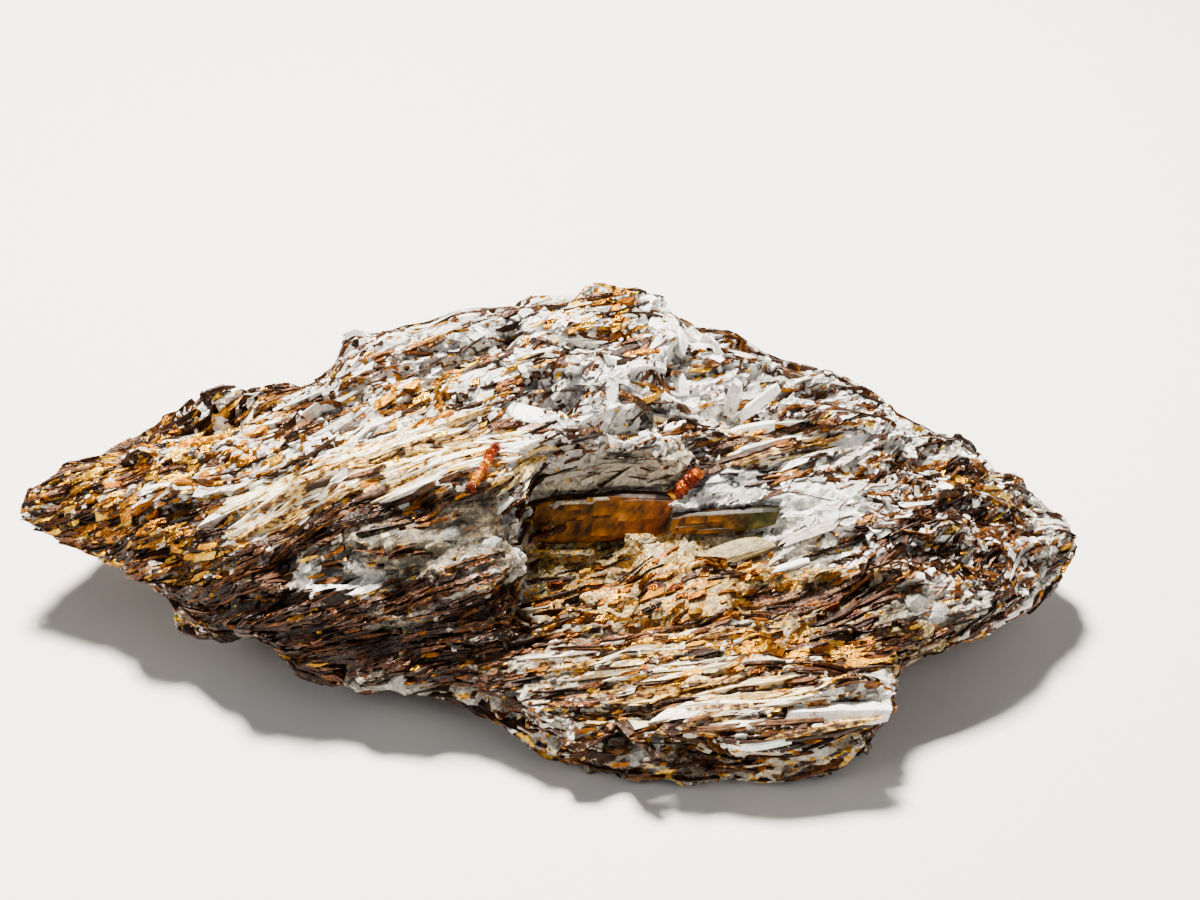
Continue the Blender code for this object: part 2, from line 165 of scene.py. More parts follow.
# Bands of brown and of pale rock along the layers: how long and wide they are, how sharply they part, and how
# brown the rock is where it has none. Then what they multiply the shares of brown and of white by, as (in a
# pale band, by how much more in a brown one).
BAND_LENGTH, BAND_WIDTH, BAND_CONTRAST = 24.0, 2.6, 1.5
EVEN_BAND = 0.45
BROWN_IN_BAND, WHITE_IN_BAND = (0.35, 1.9), (1.25, -0.6)
# The shares of brown and of gold are raised to these powers.
SHARE_CONTRAST, GOLD_CONTRAST = 1.6, 1.3
# How much fewer other blades lie among fibres, and how much less white there is on rusty ground.
FIBRE_CROWDING, RUST_CROWDING = 0.75, 0.7
# The share of grains and of needles, as (everywhere, by disorder) and (everywhere, by brown).
GRAINS_BY_DISORDER, NEEDLES_BY_BROWN = (0.25, 0.75), (0.12, 0.5)
# Nothing grows under this height, and all of it over the second.
SOLE_HEIGHTS = (1.0, 3.0)

# Relief of the rock between its blades, in layers of (length, width, height): ridges, then steps. A ridge has
# its crest at this share of its height and falls off this steeply, and the edges of the steps waver.
RIDGES = ((18.0, 3.0, 0.90), (8.0, 1.4, 0.45))
RIDGE_CREST, RIDGE_FALL = 0.35, 2.0
STEPS = ((4.5, 1.0, 0.30), (1.8, 0.6, 0.16))
STEP_WAVER = 0.6
GRAIN_SIZE, GRAIN_RISE = 1.1, 0.10
HIGHEST_RISE, LOWEST_RISE = 0.25, -1.1
# Where the rock broke smoother: (middle, reach, how much).
SMOOTH_PLACES = (
    ((8, -6, 16), (11, 7, 6), 0.75),
    ((14, -12.5, 12.6), (13, 4, 3), 0.6),
    ((-9, -13, 18.5), (7, 3, 4), 0.6),
    ((23, -6, 16), (9, 4, 3), 0.5),
)
BORDER_WAVER, BORDER_SIZE = 2.2, 5.0
SMOOTHING_ROUNDS = 18

# The large blades, rod and laths that stand on edge: middle, (length, height, thickness) and lean in degrees.
STANDING = {
    "amber": ((4.35, -4.72, 14.70), (15.4, 4.6, 2.0), 3),
    "olive": ((17.40, -5.80, 15.20), (10.4, 2.0, 2.0), 5),
    "right_rod": ((13.39, -4.20, 18.00), (4.6, 1.4, 1.4), 50),
    "long_white": ((21.20, 4.80, 21.90), (4.9, 0.9, 1.3), 44),
    "steep_white": ((18.61, 5.54, 21.90), (3.8, 1.0, 1.3), 80),
    "low_white": ((20.42, 2.13, 20.40), (4.4, 0.9, 1.1), 14),
    "ledge_white": ((27.44, -27.13, 8.40), (9.6, 1.6, 1.8), 2),
}
LEAN_BACK = math.radians(68)
OVERLAP = 0.16
# The rock's skin gives way to these crystals by this drop, and nothing is strewn as near to them as this.
SKIN_DROP, SKIN_CLEARANCE, CLEARANCE = 1.0, 0.6, 0.9
LEFT_ROD_ENDS = ((-7.3, -12.2, 23.5), (-4.9, -7.7, 25.6))
LEFT_ROD_WIDTH = 1.15

# Laths that lie in the rock's skin: place, (length, width), and turn in degrees from the layering.
LYING_WHITE = (
    ((30.3, 1.7, 19.2), (5.2, 1.1), -10),
    ((20.1, -29.6, 6.9), (5.6, 1.2), 0),
    ((24.0, -10.9, 14.0), (4.0, 0.7), 4),
    ((11.0, 13.2, 26.4), (3.2, 1.5), 64),
    ((12.7, 13.6, 25.6), (3.2, 1.4), 56),
    ((13.8, 12.2, 24.6), (2.8, 1.3), 68),
    ((13.6, 8.4, 21.2), (4.0, 1.4), -80),
    ((10.4, 4.2, 26.8), (4.2, 1.2), 8),
    ((6.0, 1.0, 25.0), (3.6, 1.3), 62),
)
LYING_GOLD = (
    ((22.6, 2.3, 20.9), (4.2, 0.7), 4),
    ((10.3, 0.9, 24.6), (2.8, 0.7), 6),
    ((9.4, 8.2, 26.8), (4.0, 0.7), -4),
    ((-9.2, -5.2, 24.8), (3.4, 0.8), 0),
    ((-10.8, -2.0, 25.2), (2.6, 0.7), 10),
)
LYING_DARK = (
    ((18.6, -1.1, 19.4), (9.0, 0.8), 4),
    ((21.0, 1.2, 20.0), (9.0, 0.7), 2),
    ((25.3, 2.4, 20.2), (6.0, 0.6), -3),
    ((15.8, -3.2, 19.0), (5.0, 0.7), 6),
    # The next three dark laths line the brow: partly astrophyllite, partly painted shade under its overhang.
    ((-28.5, -10.4, 16.6), (12.0, 0.9), 0),
    ((-21.0, -10.9, 19.2), (12.0, 0.8), 2),
    ((-13.0, -11.7, 21.4), (9.0, 0.7), 0),
    ((-17.0, -6.7, 22.8), (14.0, 0.45), 1),
    ((-21.0, -8.7, 21.4), (12.0, 0.5), 0),
    ((-10.5, -6.3, 24.4), (9.0, 0.45), 2),
    ((19.6, -29.2, 8.4), (13.0, 0.5), 0),
    ((27.0, -28.7, 7.9), (9.0, 0.5), 0),
    ((7.0, 8.0, 27.0), (5.0, 1.0), 14),
    ((1.0, 7.6, 26.2), (5.4, 1.0), -34),
    ((-4.0, 8.4, 26.6), (4.4, 0.9), 40),
    ((-9.0, 6.0, 26.0), (5.6, 0.8), 24),
    ((8.6, 1.2, 25.2), (4.0, 0.8), -46),
    ((24.0, 11.4, 21.4), (4.6, 1.0), -40),
    ((33.0, 5.2, 19.0), (4.4, 1.0), -30),
    ((36.0, -11.4, 13.8), (6.0, 0.8), 14),
    ((22.0, -13.6, 11.2), (9.0, 0.9), 0),
    ((28.0, -12.8, 11.4), (8.0, 0.8), 3),
)
LEDGE_PLACE, LEDGE_SIZE, LEDGE_SINK = (18.8, -8.6, 13.2), (11.0, 2.8, 2.0), 0.1
# How far lying laths stand out of the rock, how thick and how uneven they are and how far they bend with it.
LYING_RISE = 0.22
LYING_ROOT = 0.9
LYING_UNEVEN = 0.14
FEWEST_STATIONS = 5
FURTHEST_BEND = 1.3

# Glassy grains of quartz: place and size.
QUARTZ_GRAINS = (
    ((38.1, -16.0, 11.6), (4.2, 3.0, 3.4)),
    ((36.0, -15.7, 12.8), (3.2, 2.6, 2.6)),
    ((40.3, -16.0, 8.4), (3.0, 2.4, 3.0)),
    ((49.1, -7.7, 9.9), (3.2, 2.6, 2.8)),
    ((51.2, -4.7, 10.0), (3.0, 2.4, 2.4)),
    ((34.1, -14.9, 14.2), (2.8, 2.2, 2.2)),
    ((9.0, -27.4, 3.8), (4.6, 3.2, 3.0)),
    ((26.1, -27.1, 3.6), (4.4, 2.8, 3.0)),
    ((-15.2, -20.4, 6.6), (4.4, 2.6, 2.8)),
    ((-9.5, -13.4, 18.6), (4.0, 2.6, 3.2)),
    ((-6.0, -13.8, 16.6), (3.2, 2.6, 3.0)),
    ((20.4, -4.6, 17.4), (3.4, 2.6, 2.4)),
    ((25.6, -5.6, 16.6), (3.8, 2.8, 2.4)),
    ((5.0, -24.6, 8.0), (3.4, 2.2, 2.0)),
)
GRAIN_TURN, GRAIN_SINK = 30, 0.30
FLAKE_PLACE, FLAKE_SIZE, FLAKE_TURN = (-1.9, -2.2, 24.4), (4.2, 3.2), 78

# The soft lights: place, width, power and tint.
LIGHTS = {
    "key_light": ((-50, 130, 430), 90, 16.5, (1.0, 0.94, 0.83)),
    "fill_light": ((350, -350, 400), 400, 0.8, (1.0, 1.0, 1.0)),
    "left_light": ((-450, -200, 300), 250, 0.8, (1.0, 1.0, 1.0)),
}
LIGHT_AIM = (0, 0, 12)
SKY_TINT, SKY_STRENGTH = (0.97, 0.98, 1.0), 0.14
FLOOR_HALF = 1500
CAMERA_PLACE = (5.09, -210.51, 172.38)
CAMERA_TILT = math.radians(54)
CAMERA_LENS = 78.0
NEAREST_SEEN = 5.0


def in_block(points):
    """1 in the front block and 0 away from it, with an edge between."""
    behind = np.clip((BLOCK_BACK_Y - points[:, 1]) / BLOCK_EDGE + 0.5, 0.0, 1.0)
    under = np.clip((BLOCK_TOP_Z - points[:, 2]) / BLOCK_EDGE + 0.5, 0.0, 1.0)
    return behind * under


def climb(points):
    """How far each point's layer climbs for a millimetre to the right, as (away from the front, upwards)."""
    block = in_block(points)
    rates = []
    for column in (1, 2):
        layers, blocks = (np.interp(points[:, 0], [k[0] for k in keys], [k[column] for k in keys])
                          for keys in (LAYER_CLIMB, BLOCK_CLIMB))
        rates.append(layers + (blocks - layers) * block)
    return np.stack(rates, axis=1)


def climbed(points):
    """How far each point's layer has climbed since the front block's middle, in the same two ways."""
    block = in_block(points)
    steps = np.arange(-CLIMB_REACH, CLIMB_REACH + CLIMB_STEP, CLIMB_STEP)
    totals = []
    for column in (1, 2):
        both = []
        for keys in (LAYER_CLIMB, BLOCK_CLIMB):
            sums = np.cumsum(np.interp(steps, [k[0] for k in keys], [k[column] for k in keys])) * CLIMB_STEP
            both.append(np.interp(points[:, 0], steps, sums) - np.interp(BLOCK_MIDDLE_X, steps, sums))
        totals.append(both[0] + (both[1] - both[0]) * block)
    return np.stack(totals, axis=1)


def streak_place(points):
    """Where each point is in the layering: how far along it, and which layer it is in, across and up."""
    place = points.copy()
    place[:, 1:] -= climbed(points)
    return place


def makeup(points):
    """The brown, gold, tan, white and disorder at each point, blended from the zones."""
    # noise_vector starts from the clock, so the borders, and the blades with them, vary from run to run.
    waver = np.array([noise.noise_vector(Vector(p) / BORDER_SIZE) for p in points])
    points = points + waver * BORDER_WAVER
    total = np.full(len(points), ELSEWHERE_WEIGHT)
    mix = np.outer(total, ELSEWHERE)
    for middle, reach, *values in ZONES.values():
        far = (((points - middle) / reach) ** 2).sum(axis=1)
        weight = np.exp(-ZONE_SHARPNESS * far)
        total += weight
        mix += np.outer(weight, values)
    return mix / total[:, None]


def share_of(points, places):
    """How much of a mineral that grows only round some places there is at each point."""
    best = np.zeros(len(points))
    for middle, reach, amount in places:
        far = (((points - middle) / reach) ** 2).sum(axis=1)
        best = np.maximum(best, amount * np.clip(PLACE_EDGE - far, 0.0, 1.0))
    return best


# --- Shader nodes -------------------------------------------------------------------------------------------


class Shader:
    """Adds nodes to a material's tree and links them, a line for each node."""

    def __init__(self, name):
        self.material = bpy.data.materials.new(name)
        self.material.use_nodes = True
        self.tree = self.material.node_tree
        self.surface = self.tree.nodes["Principled BSDF"]

    def add(self, kind, inputs=(), **settings):
        node = self.tree.nodes.new("ShaderNode" + kind)
        for key, value in settings.items():
            setattr(node, key, value)
        for key, value in dict(inputs).items():
            self.give(node.inputs[key], value)
        return node

    def give(self, socket, value):
        if isinstance(value, bpy.types.NodeSocket):
            self.tree.links.new(value, socket)
        else:
            socket.default_value = value

    def math(self, operation, *values, clamp=False):
        node = self.add("Math", operation=operation, use_clamp=clamp)
        for socket, value in zip(node.inputs, values):
            self.give(socket, value)
        return node.outputs[0]

    def off(self, value, middle, weight):
        """How far a value is from a middle, times a weight."""
        return self.math("MULTIPLY", self.math("SUBTRACT", value, middle), weight)

    def total(self, *terms, clamp=False):
        """The sum of the terms, held between 0 and 1 if clamped."""
        added = terms[0]
        for term in terms[1:-1]:
            added = self.math("ADD", added, term)
        return self.math("ADD", added, terms[-1], clamp=clamp)

    def weighed(self, value, weight):
        return self.math("MULTIPLY", value, weight)

    def attribute(self, name):
        return self.add("Attribute", attribute_name=name)

    def millimetres(self, vector):
        return self.scaled(vector, (1.0 / MM, 1.0 / MM, 1.0 / MM))

    def object_place(self):
        """Where each point of the piece is, in millimetres."""
        return self.millimetres(self.add("TexCoord").outputs["Object"])

    def scaled(self, vector, scale):
        return self.add("Mapping", {"Vector": vector, "Scale": scale}, vector_type="POINT").outputs[0]

    def noise(self, vector, scale, detail=3.0, roughness=0.55):
        values = {"Vector": vector, "Scale": scale, "Detail": detail, "Roughness": roughness}
        return self.add("TexNoise", values).outputs[0]

    def cells(self, vector, scale=1.0):
        return self.add("TexVoronoi", {"Vector": vector, "Scale": scale})

    def ramp(self, value, stops):
        node = self.add("ValToRGB", {0: value})
        stored = node.color_ramp.elements
        while len(stored) < len(stops):
            stored.new(1.0)
        for element, (place, colour) in zip(stored, stops):
            element.position = place
            element.color = (*colour, 1.0)
        return node.outputs[0]

    def blend(self, factor, below, above, how="MIX"):
        node = self.add("Mix", data_type="RGBA", blend_type=how)
        for socket, value in zip((node.inputs[0], node.inputs[6], node.inputs[7]), (factor, below, above)):
            if isinstance(value, (tuple, list)) and len(value) == 3:
                value = (*value, 1.0)
            self.give(socket, value)
        return node.outputs[2]

    def mix_value(self, factor, below, above):
        node = self.add("Mix", {0: factor, 2: below, 3: above}, data_type="FLOAT")
        return node.outputs[0]

    def spread_out(self, value, low, high):
        """The value drawn out so that low gives 0 and high gives 1."""
        return self.add("MapRange", {"Value": value, "From Min": low, "From Max": high}).outputs[0]

    def parts(self, colour):
        return self.add("SeparateColor", {0: colour}).outputs

    def bump(self, height, strength, distance, normal=None):
        values = {"Height": height, "Strength": strength, "Distance": distance}
        if normal:
            values["Normal"] = normal
        return self.add("Bump", values).outputs[0]

    def tilted(self, leans):
        """The surface's normal, leant over in each cell as a crystal's flat face is."""
        normal = self.add("NewGeometry").outputs["Normal"]
        for colour, amount in leans:
            lean = self.add("VectorMath", {0: colour, 1: (0.5, 0.5, 0.5)}, operation="SUBTRACT").outputs[0]
            lean = self.add("VectorMath", {0: lean, "Scale": amount}, operation="SCALE").outputs[0]
            normal = self.add("VectorMath", {0: normal, 1: lean}, operation="ADD").outputs[0]
        return self.add("VectorMath", {0: normal}, operation="NORMALIZE").outputs[0]

    def finish(self, **values):
        for key, value in values.items():
            self.give(self.surface.inputs[key.replace("_", " ")], value)
        return self.material


# How fine the grains of the rock's finish are: how many a millimetre holds along a layer and across it, and
# then how many it holds of those that lie in no layer.
FLOW_CELLS, FINE_CELLS = (0.40, 1.7, 1.7), (1.1, 4.0, 4.0)
BLOCK_CELLS, LINE_CELLS = (0.75, 1.25, 1.25), (0.30, 4.0, 4.0)
SUGAR_CELLS, CLOUD_CELLS, ROUGH_CELLS, PATCH_CELLS = 3.4, 0.55, 2.4, 0.36
# The layers waver by this much, and turn this far from patch to patch where there is disorder.
WAVER, WAVER_CELLS = (0.6, 2.6, 2.6), 0.16
PATCH_TURN = 3.0
# How much of the pale rock's tone comes from its blocks, cloud, sugary grains, lines and whiteness.
BLOCK_TONE, CLOUD_TONE, SUGAR_TONE, LINE_TONE, WHITE_TONE = 0.30, 0.34, 0.20, 0.16, 0.60
MIDDLE_WHITE = 0.6
# How much more the sugary grains differ on rusty ground, and how soon tan ground is rusty all through.
RUSTY_SUGAR, TAN_GAIN = 0.55, 1.15
# How much of the ground the grains cover where the mineral's share is 1.
BROWN_GRAINS, FINE_BROWN, LEAST_BROWN, BROWN_CURVE = 0.78, 0.48, 0.03, 1.5
GOLD_GRAINS, FINE_GOLD, GOLD_SPECKS = 0.22, 0.40, 0.30
# Painted shade in the rock's pits: pits this deep keep this much of their colour.
DEEP_PIT, PIT_SHADE = -0.9, 0.30


def rock_finish(look):
    """Pale layered rock with brown and gold grains, each mineral in cells drawn out along the layering."""
    s = Shader("pale_layered_rock")
    layers = s.millimetres(s.attribute("streak").outputs["Vector"])
    object_mm = s.object_place()
    disorder = s.attribute("disorder").outputs["Fac"]
    waver = s.add("TexNoise", {"Vector": object_mm, "Scale": WAVER_CELLS, "Detail": 1.0}).outputs["Color"]
    layers = s.add("VectorMath", {0: waver, 1: WAVER, 2: layers}, operation="MULTIPLY_ADD").outputs[0]
    patch = s.cells(layers, PATCH_CELLS)
    swing = s.off(s.parts(patch.outputs["Color"])[0], 0.5, PATCH_TURN)
    layers = s.add("VectorRotate", {"Vector": layers, "Center": patch.outputs["Position"],
                                    "Axis": s.attribute("facing").outputs["Vector"],
                                    "Angle": s.math("MULTIPLY", swing, disorder)}).outputs[0]
    share = s.attribute("makeup")
    brown_share, gold_share, tan = s.parts(share.outputs["Color"])
    white = share.outputs["Alpha"]

    grains, fine, blocks = (s.cells(s.scaled(layers, size)).outputs["Color"]
                            for size in (FLOW_CELLS, FINE_CELLS, BLOCK_CELLS))
    which, tone, height = s.parts(grains)
    fine_which, fine_tone, fine_height = s.parts(fine)
    block_tone = s.parts(blocks)[1]
    sugar = s.cells(object_mm, SUGAR_CELLS).outputs["Color"]
    sugar_tone, sugar_which = s.parts(sugar)[:2]
    lines = s.spread_out(s.noise(s.scaled(layers, LINE_CELLS), 1.0, 4.0, 0.65), 0.34, 0.66)
    cloud = s.spread_out(s.noise(object_mm, CLOUD_CELLS, 6.0, 0.7), 0.34, 0.66)

    pale_tone = s.total(
        s.weighed(block_tone, BLOCK_TONE), s.weighed(cloud, CLOUD_TONE), s.weighed(sugar_tone, SUGAR_TONE),
        s.weighed(lines, LINE_TONE), s.off(white, MIDDLE_WHITE, WHITE_TONE), clamp=True)
    pale = s.ramp(pale_tone, [(0.12, (0.078, 0.082, 0.084)), (0.34, (0.255, 0.262, 0.262)),
                              (0.56, look.pale_colour), (0.76, (0.95, 0.94, 0.91))])
    rusty_tone = s.math("ADD", pale_tone, s.off(sugar_tone, 0.5, RUSTY_SUGAR))
    rusty = s.ramp(rusty_tone, [(0.15, (0.04, 0.026, 0.008)), (0.45, (0.18, 0.118, 0.036)),
                                (0.70, (0.34, 0.24, 0.088)), (1.0, (0.56, 0.43, 0.20))])
    pale = s.blend(s.math("MINIMUM", s.weighed(tan, TAN_GAIN), 1.0), pale, rusty)
    brown = s.ramp(tone, [(0.0, (0.012, 0.006, 0.002)), (0.6, look.brown_colour),
                          (1.0, (0.24, 0.095, 0.012))])
    gold = s.ramp(fine_tone, [(0.0, (0.26, 0.06, 0.0)), (0.5, look.gold_colour), (1.0, (0.85, 0.52, 0.08))])

    def above(value, amount):
        """1 in this share of the cells, which are those of the highest values."""
        return s.math("GREATER_THAN", value, s.math("SUBTRACT", 1.0, amount))

    browner = s.math("POWER", brown_share, BROWN_CURVE)
    long_brown = s.math("LESS_THAN", which, s.weighed(browner, BROWN_GRAINS))
    fine_brown = s.math("LESS_THAN", fine_which, s.math("ADD", LEAST_BROWN, s.weighed(browner, FINE_BROWN)))
    brown_here = s.math("MAXIMUM", long_brown, fine_brown)
    fine_gold = above(fine_which, s.weighed(gold_share, FINE_GOLD))
    long_gold = above(which, s.weighed(gold_share, GOLD_GRAINS))
    specks = above(sugar_which, s.weighed(s.math("MULTIPLY", gold_share, tan), GOLD_SPECKS))
    gold_here = s.math("MAXIMUM", s.math("MAXIMUM", fine_gold, long_gold), specks)
    colour = s.blend(gold_here, s.blend(brown_here, pale, brown), gold)
    # Painted shade: the colour darkens where the relief sinks into pits.
    painted_pit_shade = s.add("MapRange", {"Value": s.attribute("relief").outputs["Fac"], "From Min": DEEP_PIT,
                               "From Max": 0.0, "To Min": PIT_SHADE, "To Max": 1.0}).outputs[0]
    colour = s.blend(1.0, colour, painted_pit_shade, "MULTIPLY")

    roughness = s.noise(object_mm, ROUGH_CELLS, 6.0, 0.65)
    rise = s.total(s.weighed(height, 0.5), s.weighed(fine_height, 0.4), roughness, s.weighed(lines, 0.3))
    dark = s.math("MAXIMUM", brown_here, gold_here)
    facet = s.tilted([(blocks, 0.50), (sugar, 0.40)])
    return s.finish(
        Base_Color=colour,
        Roughness=s.mix_value(dark, s.mix_value(sugar_tone, 0.50, 0.20), 0.24),
        Metallic=s.weighed(gold_here, 0.8),
        Normal=s.bump(rise, 0.7, 0.20 * MM, facet),
    )


# How fine a crystal's markings are: how many a millimetre holds along, across and through it, and then how
# many it holds of those that lie every way.
CLEAVAGE_CELLS, CRACK_CELLS = (0.9, 8.0, 8.0), (3.0, 1.2, 1.2)
MOTTLE_CELLS, BLOTCH_CELLS, BLOTCH_EDGE = 1.6, 0.8, 0.03
# Blades of like tone differ in gloss, this many times over.
GLOSS_STEPS = 7.3
# How rusty ground tints the blades on it.
TAN_TINT = (0.42, 0.30, 0.12)
# What clings to the blades in blotches: pale rock on the dark ones, rust on the pale ones.
CRUST_DARK, CRUST_LIGHT = (0.34, 0.33, 0.30), (0.92, 0.91, 0.87)
RUST_DARK, RUST_LIGHT = (0.05, 0.018, 0.003), (0.40, 0.17, 0.015)


def blade_finish(name, stops, roughness, metallic=0.0, see_through=0.0, spread=0.75, cling=None, deepen_and_shade=0.0):
    """A crystal's finish: its own tone, with cleavage lines along it, cracks across it and a mottle.

    What clings to it in blotches is another mineral, as (its dark and light colour, how seldom). The crystal
    is deeper in tone where the rock is brown all through, partly as painted shade on the rock's shaded belly.
    """
    s = Shader(name)
    object_mm = s.object_place()
    tone = s.attribute("tone").outputs["Fac"]
    lines = s.attribute("along").outputs["Vector"]
    cleavage = s.spread_out(s.noise(s.scaled(lines, CLEAVAGE_CELLS), 1.0, 3.0), 0.3, 0.7)
    cracks = s.spread_out(s.noise(s.scaled(lines, CRACK_CELLS), 1.0, 2.0), 0.25, 0.45)
    mottle = s.spread_out(s.noise(object_mm, MOTTLE_CELLS, 4.0), 0.3, 0.7)
    ground = s.attribute("makeup")
    brown_share, _, tan = s.parts(ground.outputs["Color"])
    # The tone is deeper where the rock is brown all through, partly as painted shade on the rock's shaded
    # belly.
    shade = s.total(
        s.weighed(tone, spread), s.weighed(s.math("POWER", brown_share, 3.0), -deepen_and_shade),
        s.off(cleavage, 0.3, 0.40), s.off(mottle, 0.5, 0.45), clamp=True)
    colour = s.blend(1.0, s.ramp(shade, stops), s.mix_value(cracks, 0.55, 1.0), "MULTIPLY")
    if cling:
        dark, light, seldom = cling
        blotch = s.spread_out(s.noise(object_mm, BLOTCH_CELLS, 6.0, 0.7), seldom, seldom + BLOTCH_EDGE)
        paleness = s.math("MINIMUM", s.weighed(ground.outputs["Alpha"], 1.4), 1.0)
        blotch = s.math("MULTIPLY", blotch, paleness)
        crust = s.ramp(mottle, [(0.1, dark), (0.8, light)])
        colour = s.blend(blotch, colour, crust)
        metallic = s.mix_value(blotch, metallic, 0.0)
    colour = s.blend(tan, colour, TAN_TINT, "MULTIPLY")
    gloss = s.math("FRACT", s.math("MULTIPLY", tone, GLOSS_STEPS))
    uneven = s.math("MULTIPLY", roughness, s.math("ADD", 0.5, gloss))
    uneven = s.math("ADD", uneven, s.off(mottle, 0.5, 0.2), clamp=True)
    return s.finish(
        Base_Color=colour,
        Roughness=uneven,
        Metallic=metallic,
        Transmission_Weight=see_through,
        Normal=s.bump(s.math("ADD", cleavage, mottle), 0.6, 0.10 * MM),
    )


def clear_finish(name, near_tint, far_tint, half_length):
    """A clear coloured blade with cloudy and dark patches, whose colour changes from left to right.

    Its upward-facing side is darkened as painted shade, where the rock stood against it.
    """
    s = Shader(name)
    along = s.attribute("along").outputs["Vector"]
    slant = s.add("VectorRotate", {"Vector": along, "Axis": (0.0, 0.0, 1.0), "Angle": 0.6}).outputs[0]
    cloud = s.spread_out(s.noise(s.scaled(slant, (0.60, 0.34, 0.6)), 1.0, 6.0, 0.68), 0.36, 0.64)
    steps = s.parts(s.cells(s.scaled(slant, (0.7, 0.3, 0.5))).outputs["Color"])[0]
    shade = s.total(s.weighed(cloud, 0.75), s.weighed(steps, 0.25), clamp=True)
    across = s.add("SeparateXYZ", {0: along}).outputs[0]
    across = s.math("ADD", across, s.off(cloud, 0.5, 0.3 * half_length))
    across = s.spread_out(across, -0.1 * half_length, 0.5 * half_length)
    ends = []
    for tint in (tuple(near_tint), tuple(far_tint)):
        bright = tuple(min(1.0, 2.6 * c) for c in tint)
        ends.append(s.ramp(shade, [(0.12, tuple(0.16 * c for c in tint)), (0.55, tint), (0.95, bright)]))
    # Painted shade: faces that point upwards are darkened to 0.12 of their colour.
    upward = s.add("SeparateXYZ", {0: s.add("NewGeometry").outputs["Normal"]}).outputs[2]
    edge = s.mix_value(s.spread_out(upward, 0.55, 0.75), 1.0, 0.12)
    return s.finish(
        Base_Color=s.blend(1.0, s.blend(across, *ends), edge, "MULTIPLY"),
        Roughness=0.42,
        IOR=1.5,
        Specular_IOR_Level=0.1,
        Transmission_Weight=0.2,
        Normal=s.bump(s.math("ADD", cloud, steps), 0.35, 0.10 * MM),
    )


def flake_finish():
    """Pearly white on one half and pinkish brown on the other."""
    s = Shader("flake")
    along = s.attribute("along").outputs["Vector"]
    x = s.add("SeparateXYZ", {0: along}).outputs[0]
    rough_edge = s.math("MULTIPLY", s.noise(along, 1.5, 3.0), 0.8)
    white_half = s.math("GREATER_THAN", s.math("ADD", x, rough_edge), 0.2)
    mottle = s.noise(along, 2.5, 4.0)
    pink = s.ramp(mottle, [(0.3, (0.10, 0.040, 0.022)), (0.7, (0.32, 0.15, 0.10))])
    white = s.ramp(mottle, [(0.3, (0.70, 0.68, 0.66)), (0.6, (0.95, 0.94, 0.92))])
    bumps = s.bump(mottle, 0.3, 0.1 * MM)
    return s.finish(Base_Color=s.blend(white_half, pink, white), Roughness=0.2, Normal=bumps)


# --- Geometry nodes -----------------------------------------------------------------------------------------


class Tree:
    """Adds nodes to a geometry tree with named inputs."""

    def __init__(self, name):
        self.tree = bpy.data.node_groups.new(name, "GeometryNodeTree")
        self.tree.interface.new_socket("Geometry", in_out="INPUT", socket_type="NodeSocketGeometry")
        self.tree.interface.new_socket("Geometry", in_out="OUTPUT", socket_type="NodeSocketGeometry")
        self.entry = self.tree.nodes.new("NodeGroupInput")
        self.exit = self.tree.nodes.new("NodeGroupOutput")

    def size(self, name, kind="Float"):
        """A named input, and the entry's socket for it."""
        self.tree.interface.new_socket(name, in_out="INPUT", socket_type="NodeSocket" + kind)
        return self.entry.outputs[name]

    def add(self, kind, inputs=(), **settings):
        node = self.tree.nodes.new(kind)
        for key, value in settings.items():
            setattr(node, key, value)
        for key, value in dict(inputs).items():
            self.give(node.inputs[key], value)
        return node

    def give(self, socket, value):
        if isinstance(value, bpy.types.NodeSocket):
            self.tree.links.new(value, socket)
        else:
            socket.default_value = value

    def math(self, operation, *values):
        node = self.add("ShaderNodeMath", operation=operation)
        for socket, value in zip(node.inputs, values):
            self.give(socket, value)
        return node.outputs[0]

    def vector(self, x, y, z):
        return self.add("ShaderNodeCombineXYZ", {0: x, 1: y, 2: z}).outputs[0]

    def vector_math(self, operation, *values):
        node = self.add("ShaderNodeVectorMath", operation=operation)
        for k, value in enumerate(values):
            self.give(node.inputs["Scale" if k and operation == "SCALE" else k], value)
        return node.outputs["Value" if operation == "DOT_PRODUCT" else "Vector"]

    def split(self, vector):
        return self.add("ShaderNodeSeparateXYZ", {0: vector}).outputs

    def named(self, name, kind="FLOAT"):
        return self.add("GeometryNodeInputNamedAttribute", {"Name": name}, data_type=kind).outputs[0]

    def store(self, geometry, name, value, kind="FLOAT", domain="POINT"):
        values = {"Geometry": geometry, "Name": name, "Value": value}
        return self.add("GeometryNodeStoreNamedAttribute", values, data_type=kind, domain=domain).outputs[0]

    def chance(self, low, high, seed):
        """A random number for each point, drawn from its number and the seed."""
        node = self.add("FunctionNodeRandomValue", data_type="FLOAT")
        for key, value in (("Min", low), ("Max", high), ("Seed", seed)):
            socket = next(i for i in node.inputs if i.name == key and i.enabled)
            self.give(socket, value)
        return next(o for o in node.outputs if o.enabled)

    def end(self, geometry, material):
        whole = self.add("GeometryNodeRealizeInstances", {0: geometry}).outputs[0]
        made = self.add("GeometryNodeSetMaterial", {"Geometry": whole, "Material": material}).outputs[0]
        self.tree.links.new(made, self.exit.inputs[0])


